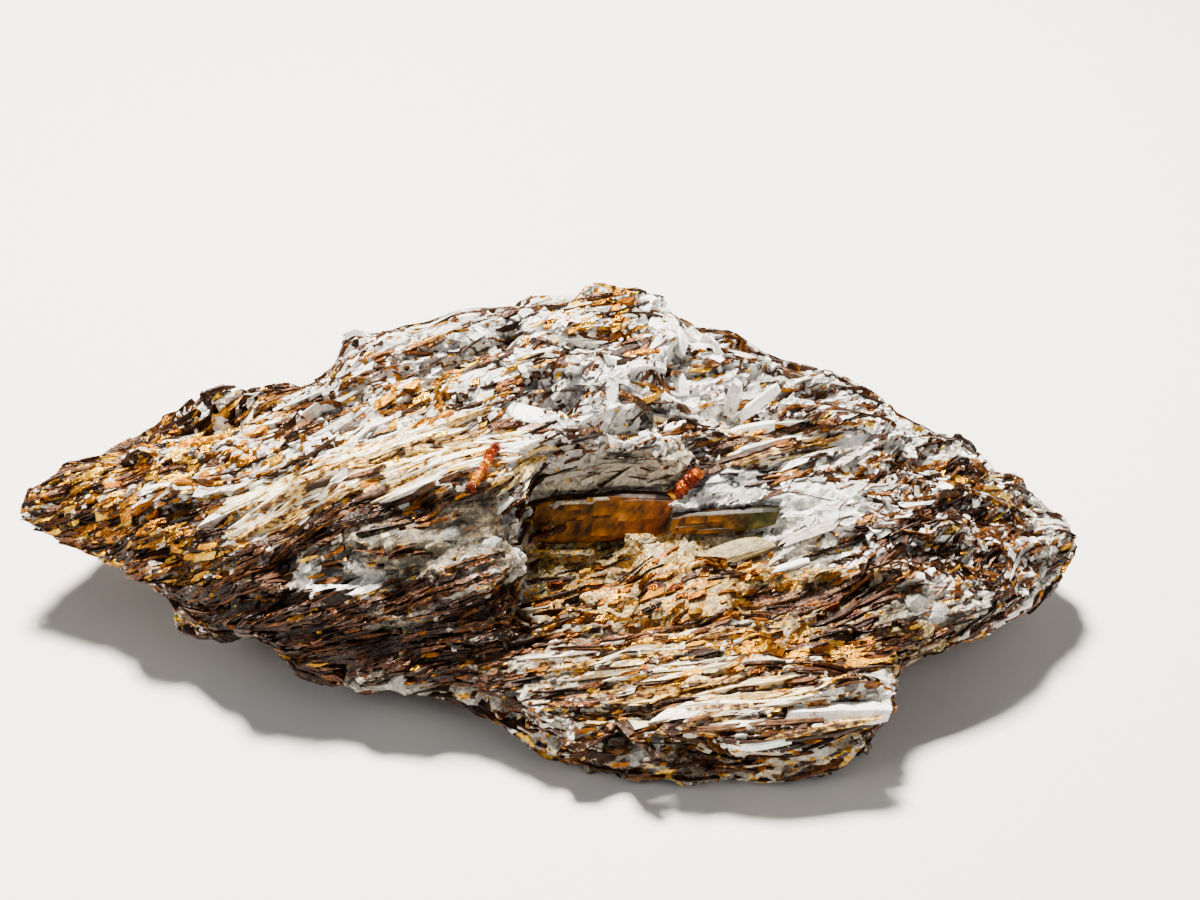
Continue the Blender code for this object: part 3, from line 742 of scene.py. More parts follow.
def run_tree(surface, tree, values, name):
    """The plain mesh object that a tree makes of a surface, once its named inputs have their values."""
    carrier = bpy.data.objects.new(name, surface)
    bpy.context.scene.collection.objects.link(carrier)
    modifier = carrier.modifiers.new("Grow", "NODES")
    modifier.node_group = tree
    sockets = {item.name: item.identifier for item in tree.interface.items_tree if item.in_out == "INPUT"}
    for key, value in values.items():
        modifier[sockets[key]] = value
    graph = bpy.context.evaluated_depsgraph_get()
    made = bpy.data.meshes.new_from_object(carrier.evaluated_get(graph))
    carrier.modifiers.clear()
    carrier.data = made
    made.name = name
    return carrier


# The OFBake map of a mineral's blades has this many cells a side, and a blade fills this much of its own.
BLADE_CELLS, CELL_FILL = 90, 0.8
# How deep a blade goes into the rock, how far its ends slant, and how fine its chips are for each metre.
BLADE_ROOT = 0.75
BLADE_SLANT = 0.16
CHIP_SCALE = 1500.0
# How freely blades stray where the rock is orderly, and how much more where it isn't.
ORDERLY_STRAY, DISORDERLY_STRAY = 0.3, 3.2
# How strongly small blades outnumber large ones.
SMALL_ONES = 2.2


def blade_shape(t, taper):
    """A blade of one unit each way, with slanted and tapered ends, which knows where each corner lies."""
    block = t.add("GeometryNodeMeshCube", {"Size": (1.0, 1.0, 1.0), "Vertices X": 4}).outputs["Mesh"]
    place = t.add("GeometryNodeInputPosition").outputs[0]
    block = t.store(block, "spot", place, "FLOAT_VECTOR")
    x, y, z = t.split(place)
    outer = t.math("MULTIPLY", t.math("ABSOLUTE", x), 2.0)
    keep = t.math("SUBTRACT", 1.0, t.math("MULTIPLY", outer, taper))
    slanted = t.math("ADD", x, t.math("MULTIPLY", y, BLADE_SLANT))
    shaped = t.vector(slanted, t.math("MULTIPLY", y, keep), z)
    return t.add("GeometryNodeSetPosition", {"Geometry": block, "Position": shaped}).outputs[0]


def blade_tree(name, share):
    """Blades strewn over a surface by the mineral's share, lying along its layering and set into it."""
    t = Tree(name)
    density = t.size("Density")
    length_low, length_high = t.size("Shortest"), t.size("Longest")
    width_low, width_high = t.size("Narrowest"), t.size("Widest")
    rise_low, rise_high = t.size("Lowest"), t.size("Highest")
    roll, stray, pitch = t.size("Roll"), t.size("Stray"), t.size("Pitch")
    root, taper, ragged = t.size("Root"), t.size("Taper"), t.size("Ragged")
    seed = t.size("Seed", "Int")
    material = t.size("Material", "Material")

    rock = t.entry.outputs[0]
    wanted = t.math("MULTIPLY", t.named(share), density)
    points = t.add("GeometryNodeDistributePointsOnFaces", {"Mesh": rock, "Density": wanted, "Seed": seed},
                   distribute_method="RANDOM").outputs["Points"]

    def several(count, key):
        return [t.chance(0.0, 1.0, t.math("ADD", seed, float(key + k))) for k in range(count)]

    def swing(limit, one, two):
        """An amount up to the limit either way, mostly small."""
        return t.math("MULTIPLY", t.math("SUBTRACT", t.math("ADD", one, two), 1.0), limit)

    def between(low, high, part):
        return t.math("ADD", low, t.math("MULTIPLY", t.math("SUBTRACT", high, low), part))

    r = several(10, 11)
    disorder = t.named("disorder")
    more = t.math("MULTIPLY", t.math("MULTIPLY", disorder, disorder), DISORDERLY_STRAY)
    freedom = t.math("ADD", ORDERLY_STRAY, more)
    yaw = swing(t.math("MULTIPLY", stray, freedom), r[0], r[1])
    lie = t.add("FunctionNodeAxesToRotation", {"Primary Axis": t.named("facing", "FLOAT_VECTOR"),
                                               "Secondary Axis": t.named("layering", "FLOAT_VECTOR")},
                primary_axis="Z", secondary_axis="X").outputs[0]
    own_turn = t.add("FunctionNodeEulerToRotation", {0: t.vector(0.0, 0.0, yaw)}).outputs[0]
    rotation = t.add("FunctionNodeRotateRotation", {"Rotation": lie, "Rotate By": own_turn},
                     rotation_space="LOCAL").outputs[0]
    big = t.math("POWER", r[6], SMALL_ONES)
    width_part = t.math("MULTIPLY", t.math("ADD", r[7], big), 0.5)
    scale = t.vector(between(length_low, length_high, big), between(width_low, width_high, width_part), root)
    points = t.store(points, "tone", r[8])
    points = t.store(points, "size", scale, "FLOAT_VECTOR")
    points = t.store(points, "lean", t.vector(swing(pitch, r[4], r[5]), swing(roll, r[2], r[3]),
                                              between(rise_low, rise_high, r[9])), "FLOAT_VECTOR")
    points = t.store(points, "number", t.add("GeometryNodeInputIndex").outputs[0])
    blades = t.add("GeometryNodeInstanceOnPoints", {"Points": points, "Instance": blade_shape(t, taper),
                                                    "Rotation": rotation, "Scale": scale}).outputs[0]
    blades = t.add("GeometryNodeRealizeInstances", {0: blades}).outputs[0]

    spot, number = t.named("spot", "FLOAT_VECTOR"), t.named("number")
    along = t.vector_math("MULTIPLY", spot, t.named("size", "FLOAT_VECTOR"))
    blades = t.store(blades, "along", t.vector_math("SCALE", along, 1.0 / MM), "FLOAT_VECTOR")

    chips = t.add("ShaderNodeTexNoise", {"Vector": t.add("GeometryNodeInputPosition").outputs[0],
                                         "Scale": CHIP_SCALE, "Detail": 1.0}).outputs["Color"]
    nudge = t.vector_math("SCALE", t.vector_math("SUBTRACT", chips, (0.5, 0.5, 0.5)), ragged)
    blades = t.add("GeometryNodeSetPosition", {"Geometry": blades, "Offset": nudge}).outputs[0]

    def under(key):
        """What the rock nearest to each corner says."""
        said = t.named(key, "FLOAT_VECTOR")
        return t.add("GeometryNodeSampleNearestSurface", {"Mesh": rock, "Value": said},
                     data_type="FLOAT_VECTOR").outputs[0]

    out = under("facing")
    place = t.add("GeometryNodeInputPosition").outputs[0]
    height = t.vector_math("DOT_PRODUCT", t.vector_math("SUBTRACT", place, under("level")), out)
    lean_x, lean_y, rise = t.split(t.named("lean", "FLOAT_VECTOR"))
    x, y, z = t.split(t.named("along", "FLOAT_VECTOR"))
    top = t.math("ADD", rise, t.math("MULTIPLY", t.math("ADD", t.math("MULTIPLY", x, lean_x),
                                                        t.math("MULTIPLY", y, lean_y)), MM))
    wanted_height = t.math("SUBTRACT", top, t.math("MULTIPLY", t.math("LESS_THAN", z, 0.0), root))
    lift = t.vector_math("SCALE", out, t.math("SUBTRACT", wanted_height, height))
    blades = t.add("GeometryNodeSetPosition", {"Geometry": blades, "Offset": lift}).outputs[0]

    column = t.math("MODULO", number, float(BLADE_CELLS))
    row = t.math("FLOOR", t.math("DIVIDE", number, float(BLADE_CELLS)))
    x, y, _ = t.split(spot)
    cell = [t.math("DIVIDE", t.math("ADD", part, t.math("ADD", 0.5, t.math("MULTIPLY", side, CELL_FILL))),
                   float(BLADE_CELLS)) for part, side in ((column, x), (row, y))]
    blades = t.store(blades, "OFBake", t.vector(*cell, 0.0), "FLOAT2", "CORNER")
    t.end(blades, material)
    return t.tree


# --- Pieces -------------------------------------------------------------------------------------------------


def keep(piece, slot, replaces=True):
    """Attaches a finished piece to the body it moves with, and hides the imported solid if it replaces it."""
    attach(piece, BODY)
    if replaces:
        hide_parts(NODE)
    return piece


def clean_copy(name):
    """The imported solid's mesh as one welded skin."""
    mesh = bmesh.new()
    mesh.from_mesh(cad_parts[NODE].data)
    bmesh.ops.remove_doubles(mesh, verts=mesh.verts, dist=WELD * MM)
    data = bpy.data.meshes.new(name)
    mesh.to_mesh(data)
    mesh.free()
    return data


def remeshed(data, voxel):
    """The same skin in even squares, small enough to carry relief."""
    carrier = bpy.data.objects.new("to_remesh", data)
    bpy.context.scene.collection.objects.link(carrier)
    modifier = carrier.modifiers.new("Even", "REMESH")
    modifier.mode = "VOXEL"
    modifier.voxel_size = voxel
    graph = bpy.context.evaluated_depsgraph_get()
    made = bpy.data.meshes.new_from_object(carrier.evaluated_get(graph))
    bpy.data.objects.remove(carrier)
    return made


def relief(points):
    """How far the rock stands out at each point, in millimetres: all of it, and its broad ridges alone."""
    broad, all_of_it = [], []
    for p, lay in zip(map(Vector, points), map(Vector, streak_place(points))):
        rise = 0.0
        for length, width, height in RIDGES:
            fold = noise.noise(Vector((lay.x / length, lay.y / width, lay.z / width)))
            rise += height * (RIDGE_CREST - RIDGE_FALL * abs(fold))
        broad.append(rise)
        rise += GRAIN_RISE * noise.noise(p / GRAIN_SIZE)
        for length, width, height in STEPS:
            waver = STEP_WAVER * noise.noise(p / (4 * width))
            cell = Vector((lay.x / length, lay.y / width + waver, lay.z / width + waver))
            rise += height * (noise.cell(cell) - 0.5)
        all_of_it.append(rise)
    return np.clip(all_of_it, LOWEST_RISE, HIGHEST_RISE), np.clip(broad, LOWEST_RISE, HIGHEST_RISE)


def bands(streak):
    """How brown the band is that each place lies in, from 0 to 1."""
    size = Vector((BAND_LENGTH, BAND_WIDTH, BAND_WIDTH))
    found = [noise.noise(Vector([a / b for a, b in zip(place, size)])) for place in streak]
    return np.clip(0.5 + BAND_CONTRAST * np.array(found), 0.0, 1.0)


def add_attribute(data, name, kind, field, values):
    stored = data.attributes.new(name, kind, "POINT")
    stored.data.foreach_set(field, np.asarray(values, dtype=np.float32).ravel())


def smooth_normals(data):
    """Which way the rock faces from place to place, with its small bumps left out."""
    count = len(data.vertices)
    ends = np.empty(len(data.edges) * 2, dtype=np.int64)
    data.edges.foreach_get("vertices", ends)
    one, two = ends.reshape(-1, 2).T
    normals = np.array([v.normal for v in data.vertices])
    for _ in range(SMOOTHING_ROUNDS):
        total = normals.copy()
        for axis in range(3):
            toward = np.bincount(one, normals[two, axis], count)
            back = np.bincount(two, normals[one, axis], count)
            total[:, axis] += toward + back
        normals = total / np.linalg.norm(total, axis=1, keepdims=True)
    return normals


def describe_rock(data, points, facing, rises, broad, free):
    """Stores what each place is made of, and how its layers run, for the finishes and the blades."""
    mix = makeup(points)
    way = np.column_stack((np.ones(len(points)), climb(points)))
    way /= np.linalg.norm(way, axis=1, keepdims=True)
    way -= facing * (way * facing).sum(axis=1, keepdims=True)
    way /= np.maximum(np.linalg.norm(way, axis=1, keepdims=True), 0.05)
    bare, grown_over = SOLE_HEIGHTS
    clear_of_sole = np.clip((points[:, 2] - bare) / (grown_over - bare), 0.0, 1.0)
    streak = streak_place(points)
    band = bands(streak)
    band += (EVEN_BAND - band) * mix[:, 4]

    def by(amounts, field):
        return amounts[0] + amounts[1] * field

    mix[:, 0] = np.clip(mix[:, 0] ** SHARE_CONTRAST * by(BROWN_IN_BAND, band), 0.0, 1.0)
    mix[:, 3] = np.clip(mix[:, 3] * by(WHITE_IN_BAND, band), 0.0, 1.0)
    brown, gold, tan, white, disorder = mix.T
    add_attribute(data, "streak", "FLOAT_VECTOR", "vector", streak * MM)
    add_attribute(data, "makeup", "FLOAT_COLOR", "color", mix[:, :4])
    add_attribute(data, "layering", "FLOAT_VECTOR", "vector", way)
    add_attribute(data, "facing", "FLOAT_VECTOR", "vector", facing)
    add_attribute(data, "level", "FLOAT_VECTOR", "vector", (points + facing * broad[:, None]) * MM)
    add_attribute(data, "relief", "FLOAT", "value", rises)
    add_attribute(data, "disorder", "FLOAT", "value", disorder)
    fibres = share_of(points, FIBRES)
    others = 1.0 - FIBRE_CROWDING * fibres
    pale = white ** 2 * (1.0 - RUST_CROWDING * tan) * others
    shares = {
        "brown": brown * others,
        "gold": gold ** GOLD_CONTRAST * others,
        "white": pale,
        "grains": pale * by(GRAINS_BY_DISORDER, disorder),
        "fibres": fibres,
        "glints": share_of(points, GLINTS),
        "needles": by(NEEDLES_BY_BROWN, brown) * others,
    }
    for key, values in shares.items():
        add_attribute(data, key, "FLOAT", "value", values * clear_of_sole * free)


def standing_place(name):
    """The matrix that puts a standing crystal in place: X along it, Z out of its broad face."""
    middle, _, lean = STANDING[name]
    tilt = Matrix.Rotation(math.radians(-lean), 4, "Y")
    return Matrix.Translation(middle) @ tilt @ Matrix.Rotation(LEAN_BACK, 4, "X")


def in_standing(points, clearance):
    """1 where a point of the skin is this near to a crystal that has a piece of its own, and 0 elsewhere."""
    inside = np.zeros(len(points))
    for name, (_, size, _) in STANDING.items():
        back = np.array(standing_place(name).inverted())
        local = points @ back[:3, :3].T + back[:3, 3]
        inside[(np.abs(local) < np.array(size) / 2 + clearance).all(axis=1)] = 1.0
    return inside


def make_rock(look):
    data = remeshed(clean_copy("rock_skin"), look.rock_detail)
    facing = smooth_normals(data)
    points = np.array([v.co for v in data.vertices]) / MM
    calm = 1.0 - share_of(points, SMOOTH_PLACES)
    rises, broad = (height * calm for height in relief(points))
    drop = SKIN_DROP * np.maximum(in_standing(points, SKIN_CLEARANCE), share_of(points, SUNK_PLACES))
    moved = points + facing * (rises - drop)[:, None]
    moved[:, 2] = np.maximum(moved[:, 2], 0.0)
    data.vertices.foreach_set("co", (moved * MM).ravel())
    data.update()
    describe_rock(data, points, facing, rises, broad, 1.0 - in_standing(points, CLEARANCE))
    data.name = "rock"
    data.materials.append(rock_finish(look))
    rock = bpy.data.objects.new("rock", data)
    bpy.context.scene.collection.objects.link(rock)
    return keep(rock, "pale_rock")


def strew(look, name, share, finish, seed, slot, taper=0.25, roll=14.0, pitch=1.5, stray=18.0, ragged=0.5):
    """One mineral's blades, set into the rock's own skin."""
    values = {
        "Density": look.density, "Shortest": look.shortest, "Longest": look.longest,
        "Narrowest": look.narrowest, "Widest": look.widest, "Lowest": look.lowest, "Highest": look.highest,
        "Roll": math.tan(math.radians(roll)), "Pitch": math.tan(math.radians(pitch)),
        "Stray": math.radians(stray), "Root": BLADE_ROOT * MM, "Taper": taper, "Ragged": ragged * MM,
        "Seed": seed, "Material": finish,
    }
    skin = bpy.data.objects["rock"].data
    piece = run_tree(skin, blade_tree(name + "_growth", share), values, name)
    for vertex in piece.data.vertices:
        vertex.co.z = max(vertex.co.z, 0.0)
    return keep(piece, slot, replaces=False)


# How crystals narrow to their ends, by how much and how late, and how unevenly their steps are spread.
END_NARROWING, END_CURVE, STEP_SPREAD = 0.25, 6, 0.3
# The beads of a rod: how far they grow into each other, how far they lie off its line and how thick they are.
BEAD_OVERLAP, BEAD_SHIFT, BEAD_GIRTHS = 1.15, 0.08, (0.82, 1.05)
# The leaves on a blade's broad face: their length and width as shares of its own, and their thickness.
LEAF_LENGTHS, LEAF_WIDTHS, LEAF_THICKNESS = (0.25, 0.6), (0.15, 0.45), 0.3
# How many flat faces a grain is broken to, and how far out they lie.
GRAIN_FACES, GRAIN_CUT = 12, 0.72


def raised(height):
    return Matrix.Translation((0.0, 0.0, height))


class Cluster:
    """Gathers crystals into one mesh, each closed, knowing its own place along it and its own tone."""

    def __init__(self, seed):
        self.mesh = bmesh.new()
        self.along = self.mesh.verts.layers.float_vector.new("along")
        self.tone = self.mesh.verts.layers.float.new("tone")
        self.pick = random.Random(seed)

    def lath(self, place, size, slant=0.25, bevel=0.16, stations=7, uneven=0.06, bend=None):
        """A long crystal with flat bevelled sides, small steps along it and slanting ends.

        The bend gives how far the crystal lies up or down at each distance along it.
        """
        length, width, thickness = size
        corner = bevel * min(width, thickness)
        half_w, half_t = width / 2, thickness / 2
        outline = [(half_w - corner, half_t), (half_w, half_t - corner), (half_w, corner - half_t),
                   (half_w - corner, -half_t), (corner - half_w, -half_t), (-half_w, corner - half_t),
                   (-half_w, half_t - corner), (corner - half_w, half_t)]
        tone = self.pick.random()
        rings = []
        for k in range(stations):
            part = k / (stations - 1) - 0.5
            if 0 < k < stations - 1:
                part += self.pick.uniform(-STEP_SPREAD, STEP_SPREAD) / stations
            narrow = 1.0 - END_NARROWING * abs(2 * part) ** END_CURVE
            wide, thick = (narrow * (1.0 + self.pick.uniform(-uneven, uneven)) for _ in range(2))
            lift = Vector((0.0, 0.0, bend(length * part) if bend else 0.0))
            ring = []
            for y, z in outline:
                local = Vector((length * part + slant * y, y * wide, z * thick))
                vertex = self.mesh.verts.new(place @ (local + lift) * MM)
                vertex[self.along] = local
                vertex[self.tone] = tone
                ring.append(vertex)
            rings.append(ring)
        for ring, after in zip(rings, rings[1:]):
            for k in range(len(ring)):
                m = (k + 1) % len(ring)
                self.mesh.faces.new((ring[k], after[k], after[m], ring[m]))
        self.mesh.faces.new(rings[0])
        self.mesh.faces.new(reversed(rings[-1]))

    def book(self, place, size, leaves):
        """A blade with thin leaves of itself split up on its broad face."""
        length, width, thickness = size
        self.lath(place, size)
        for _ in range(leaves):
            long, wide = self.pick.uniform(*LEAF_LENGTHS), self.pick.uniform(*LEAF_WIDTHS)
            leaf = (length * long, width * wide, LEAF_THICKNESS)
            shift = Vector((self.pick.uniform(-0.5, 0.5) * (length - leaf[0]),
                            self.pick.uniform(-0.5, 0.5) * (width - leaf[1]), thickness / 2))
            self.lath(place @ Matrix.Translation(shift), leaf, stations=4)

    def beads(self, place, size, count):
        """A rod grown as a row of short beads."""
        length, width, thickness = size
        step = length / count
        for k in range(count):
            spin = Matrix.Rotation(self.pick.uniform(0, math.pi), 4, "X")
            aside = self.pick.uniform(-BEAD_SHIFT, BEAD_SHIFT)
            shift = Matrix.Translation(((k + 0.5) * step - length / 2, aside, 0.0))
            girth = self.pick.uniform(*BEAD_GIRTHS)
            bead = (step * BEAD_OVERLAP, width * girth, thickness * girth)
            self.lath(place @ shift @ spin, bead, slant=0.1, bevel=0.3, stations=3, uneven=0.05)

    def lump(self, place, size, detail=2):
        """A glassy grain, broken to flat faces."""
        made = bmesh.ops.create_icosphere(self.mesh, subdivisions=detail, radius=1.0)["verts"]
        cuts = [Vector([self.pick.gauss(0, 1) for _ in range(3)]).normalized() for _ in range(GRAIN_FACES)]
        tone = self.pick.random()
        for vertex in made:
            way = vertex.co.normalized()
            reach = min([1.0] + [GRAIN_CUT / way.dot(cut) for cut in cuts if way.dot(cut) > GRAIN_CUT])
            local = Vector([c * s / 2 * reach for c, s in zip(way, size)])
            vertex.co = place @ local * MM
            vertex[self.along] = local
            vertex[self.tone] = tone

    def finish(self, name, material, slot):
        bmesh.ops.recalc_face_normals(self.mesh, faces=self.mesh.faces)
        data = bpy.data.meshes.new(name)
        self.mesh.to_mesh(data)
        self.mesh.free()
        for vertex in data.vertices:
            vertex.co.z = max(vertex.co.z, 0.0)
        data.materials.append(material)
        piece = bpy.data.objects.new(name, data)
        bpy.context.scene.collection.objects.link(piece)
        return keep(piece, slot, replaces=False)


class Ground:
    """Finds places on the rock's skin and how the rock lies there."""

    def __init__(self):
        data = bpy.data.objects["rock"].data
        count = len(data.vertices)
        self.values = {}
        for key in ("level", "facing", "layering"):
            held = np.empty(count * 3, dtype=np.float32)
            data.attributes[key].data.foreach_get("vector", held)
            self.values[key] = held.reshape(-1, 3)
        self.tree = KDTree(count)
        for k, place in enumerate(self.values["level"]):
            self.tree.insert(place, k)
        self.tree.balance()

    def at(self, place, turn=0.0):
        """The matrix of the skin nearest to a place: X along the layering, Z out of the rock."""
        index = self.tree.find(Vector(place) * MM)[1]
        level, out, way = (Vector(self.values[key][index]) for key in ("level", "facing", "layering"))
        out.normalize()
        way = (way - out * way.dot(out)).normalized()
        basis = Matrix((way, out.cross(way), out)).transposed().to_4x4()
        return Matrix.Translation(level / MM) @ basis @ Matrix.Rotation(math.radians(turn), 4, "Z")

    def height(self, place, along):
        """How far the skin rises over or falls under a flat place, at a distance along it."""
        index = self.tree.find(place @ Vector((along, 0.0, 0.0)) * MM)[1]
        local = place.inverted() @ (Vector(self.values["level"][index]) / MM)
        return max(-FURTHEST_BEND, min(FURTHEST_BEND, local.z))

    def run(self, place, length):
        """Where a lath starts and ends along a flat place, up to its length, while the skin stays near it."""
        ends = []
        for step in (-0.5, 0.5):
            end = 0.0
            while abs(end) < length / 2 and abs(self.height(place, end + step)) < FURTHEST_BEND:
                end += step
            ends.append(end)
        return ends


def lying_laths(name, table, material, seed, slot):
    ground, cluster = Ground(), Cluster(seed)
    down = raised(LYING_RISE - LYING_ROOT / 2)
    for spot, (length, width), turn in table:
        place = ground.at(spot, turn)
        start, end = ground.run(place, length)
        place = place @ Matrix.Translation(((start + end) / 2, 0.0, 0.0))
        size = (end - start, width, LYING_ROOT)
        stations = max(FEWEST_STATIONS, round(size[0]))
        cluster.lath(place @ down, size, stations=stations, uneven=LYING_UNEVEN,
                     bend=partial(ground.height, place))
    return cluster.finish(name, material, slot)


def grown(name):
    """The size of a standing crystal, a little larger than the form it covers."""
    return [side + OVERLAP for side in STANDING[name][1]]


# --- Settings -----------------------------------------------------------------------------------------------


def colour(name, description, default):
    return bpy.props.FloatVectorProperty(name=name, description=description, subtype="COLOR", size=3, min=0.0,
                                         max=1.0, default=default)


def distance(name, description, default):
    return bpy.props.FloatProperty(name=name, description=description, unit="LENGTH", subtype="DISTANCE",
                                   min=0.0, precision=5, default=default)


def blade_settings(kind, density, length, width, rise):
    """The fields that every kind of blade has, with its own defaults."""
    return {
        "density": bpy.props.FloatProperty(name="Density", min=0.0, default=density,
                                           description=f"How many {kind} lie on a square metre of rock"),
        "shortest": distance("Shortest", f"Length of the shortest {kind}", length[0] * MM),
        "longest": distance("Longest", f"Length of the longest {kind}", length[1] * MM),
        "narrowest": distance("Narrowest", f"Width of the narrowest {kind}", width[0] * MM),
        "widest": distance("Widest", f"Width of the widest {kind}", width[1] * MM),
        "lowest": distance("Lowest", f"How far the lowest {kind} stand out of the rock", rise[0] * MM),
        "highest": distance("Highest", f"How far the highest {kind} stand out of the rock", rise[1] * MM),
    }


class RockLook(bpy.types.PropertyGroup):
    rock_detail: distance("Detail", "Size of the squares that the rock's skin is made of", 0.45 * MM)
    pale_colour: colour("Pale rock", "Feldspar and quartz", (0.62, 0.60, 0.57))
    brown_colour: colour("Brown grains", "Astrophyllite in the rock", (0.075, 0.026, 0.007))
    gold_colour: colour("Gold grains", "Bronze flakes in the rock", (0.55, 0.22, 0.003))


class BrownBlades(bpy.types.PropertyGroup):
    __annotations__ = blade_settings("brown blades", 1.35e6, (0.6, 4.8), (0.16, 0.72), (-0.08, 0.22))


class GoldFlakes(bpy.types.PropertyGroup):
    __annotations__ = blade_settings("gold flakes", 1.35e6, (0.3, 2.2), (0.12, 0.50), (-0.04, 0.20))


class DarkNeedles(bpy.types.PropertyGroup):
    __annotations__ = blade_settings("dark needles", 0.9e6, (1.0, 7.0), (0.06, 0.20), (0.0, 0.22))


class WhiteLaths(bpy.types.PropertyGroup):
    __annotations__ = blade_settings("white laths", 0.12e6, (0.8, 6.0), (0.15, 0.80), (-0.12, 0.16))


class WhiteGrains(bpy.types.PropertyGroup):
    __annotations__ = blade_settings("white grains", 1.2e6, (0.3, 1.8), (0.25, 1.1), (-0.24, 0.08))


class PaleFibres(bpy.types.PropertyGroup):
    __annotations__ = blade_settings("pale fibres", 0.85e6, (2.0, 14.0), (0.18, 0.95), (-0.04, 0.30))


class GoldPlates(bpy.types.PropertyGroup):
    __annotations__ = blade_settings("gold plates", 0.55e6, (0.7, 2.6), (0.4, 1.0), (0.03, 0.28))


class LargeCrystals(bpy.types.PropertyGroup):
    amber_colour: colour("Amber", "The large blade in the hollow, at its left", (0.27, 0.095, 0.003))
    amber_far_colour: colour("Amber, far end", "The large blade in the hollow, at its right",
                             (0.20, 0.045, 0.001))
    olive_colour: colour("Olive", "The second blade in the hollow, at its left", (0.26, 0.085, 0.003))
    olive_far_colour: colour("Olive, far end", "The second blade in the hollow, at its right",
                             (0.070, 0.062, 0.010))
    rod_colour: colour("Rods", "The beaded rods", (0.28, 0.026, 0.0))
    white_colour: colour("White laths", "The large feldspar laths", (0.97, 0.96, 0.93))
    bead_count: bpy.props.IntProperty(name="Beads", description="How many beads a rod has", default=8, min=1)


class StageLook(bpy.types.PropertyGroup):
    floor_colour: colour("Floor", "Plain pale floor", (0.70, 0.69, 0.67))


# --- Operators ----------------------------------------------------------------------------------------------


class MakeRock(bpy.types.Operator):
    """Make the pale rock with its layers"""

    bl_idname = "astrophyllite.rock"
    bl_label = "Rock"

    def execute(self, context):
        make_rock(context.scene.astro_rock)
        return {"FINISHED"}


class MakeBrownBlades(bpy.types.Operator):
    """Strew the dark brown blades over the rock"""

    bl_idname = "astrophyllite.brown_blades"
    bl_label = "Brown blades"

    def execute(self, context):
        stops = [(0.0, (0.010, 0.003, 0.0005)), (0.45, (0.055, 0.014, 0.001)), (0.75, (0.17, 0.052, 0.002)),
                 (1.0, (0.38, 0.16, 0.006))]
        # The brown blades deepen in tone where the rock is brown all through, partly as painted shade on the
        # belly.
        finish = blade_finish("brown_blade", stops, 0.32, metallic=0.6, cling=(CRUST_DARK, CRUST_LIGHT, 0.59),
                              deepen_and_shade=0.36)
        strew(context.scene.astro_brown, "brown_blades", "brown", finish, seed=3, slot="brown_blades")
        return {"FINISHED"}


class MakeGoldFlakes(bpy.types.Operator):
    """Strew the bronze and gold flakes over the rock"""

    bl_idname = "astrophyllite.gold_flakes"
    bl_label = "Gold flakes"

    def execute(self, context):
        stops = [(0.0, (0.15, 0.032, 0.0)), (0.35, (0.40, 0.146, 0.0)), (0.7, (0.64, 0.345, 0.005)),
                 (1.0, (0.92, 0.68, 0.12))]
        finish = blade_finish("gold_flake", stops, 0.34, metallic=0.85)
        strew(context.scene.astro_gold, "gold_flakes", "gold", finish, seed=5, slot="gold_flakes",
              roll=24.0, pitch=6.0)
        return {"FINISHED"}


class MakeDarkNeedles(bpy.types.Operator):
    """Strew the thin dark needles over the rock"""

    bl_idname = "astrophyllite.dark_needles"
    bl_label = "Dark needles"

    def execute(self, context):
        stops = [(0.0, (0.008, 0.003, 0.001)), (0.6, (0.045, 0.014, 0.002)), (1.0, (0.28, 0.09, 0.006))]
        finish = blade_finish("dark_needle", stops, 0.34, metallic=0.5)
        strew(context.scene.astro_needles, "dark_needles", "needles", finish, seed=13, slot="brown_blades",
              stray=24.0)
        return {"FINISHED"}


class MakeWhiteLaths(bpy.types.Operator):
    """Strew the white feldspar laths over the rock"""

    bl_idname = "astrophyllite.white_laths"
    bl_label = "White laths"

    def execute(self, context):
        stops = [(0.0, (0.22, 0.215, 0.20)), (0.3, (0.52, 0.51, 0.48)), (0.65, (0.88, 0.87, 0.83)),
                 (1.0, (0.98, 0.97, 0.94))]
        finish = blade_finish("white_lath", stops, 0.34, cling=(RUST_DARK, RUST_LIGHT, 0.60))
        strew(context.scene.astro_white, "white_laths", "white", finish, seed=7, slot="white_crystals",
              taper=0.1, roll=10.0)
        return {"FINISHED"}


class MakeWhiteGrains(bpy.types.Operator):
    """Set the angular white and grey grains in the rock"""

    bl_idname = "astrophyllite.white_grains"
    bl_label = "White grains"

    def execute(self, context):
        stops = [(0.0, (0.13, 0.13, 0.12)), (0.3, (0.38, 0.375, 0.35)), (0.6, (0.76, 0.75, 0.71)),
                 (0.85, (0.98, 0.97, 0.94))]
        finish = blade_finish("white_grain", stops, 0.28, spread=0.9, cling=(RUST_DARK, RUST_LIGHT, 0.60))
        strew(context.scene.astro_grains, "white_grains", "grains", finish, seed=17, slot="white_crystals",
              taper=0.2, roll=26.0, pitch=18.0, stray=70.0, ragged=0.15)
        return {"FINISHED"}


class MakePaleFibres(bpy.types.Operator):
    """Lay the long straight fibres of white, gold and brown side by side"""

    bl_idname = "astrophyllite.pale_fibres"
    bl_label = "Pale fibres"

    def execute(self, context):
        stops = [(0.02, (0.04, 0.014, 0.002)), (0.13, (0.17, 0.055, 0.004)), (0.21, (0.66, 0.34, 0.02)),
                 (0.34, (0.93, 0.70, 0.26)), (0.50, (0.98, 0.93, 0.78)), (0.9, (1.0, 0.99, 0.96))]
        finish = blade_finish("pale_fibre", stops, 0.26, metallic=0.2, cling=(RUST_DARK, RUST_LIGHT, 0.65))
        strew(context.scene.astro_fibres, "pale_fibres", "fibres", finish, seed=19, slot="gold_flakes",
              taper=0.3, roll=10.0, stray=5.0, ragged=0.35)
        return {"FINISHED"}


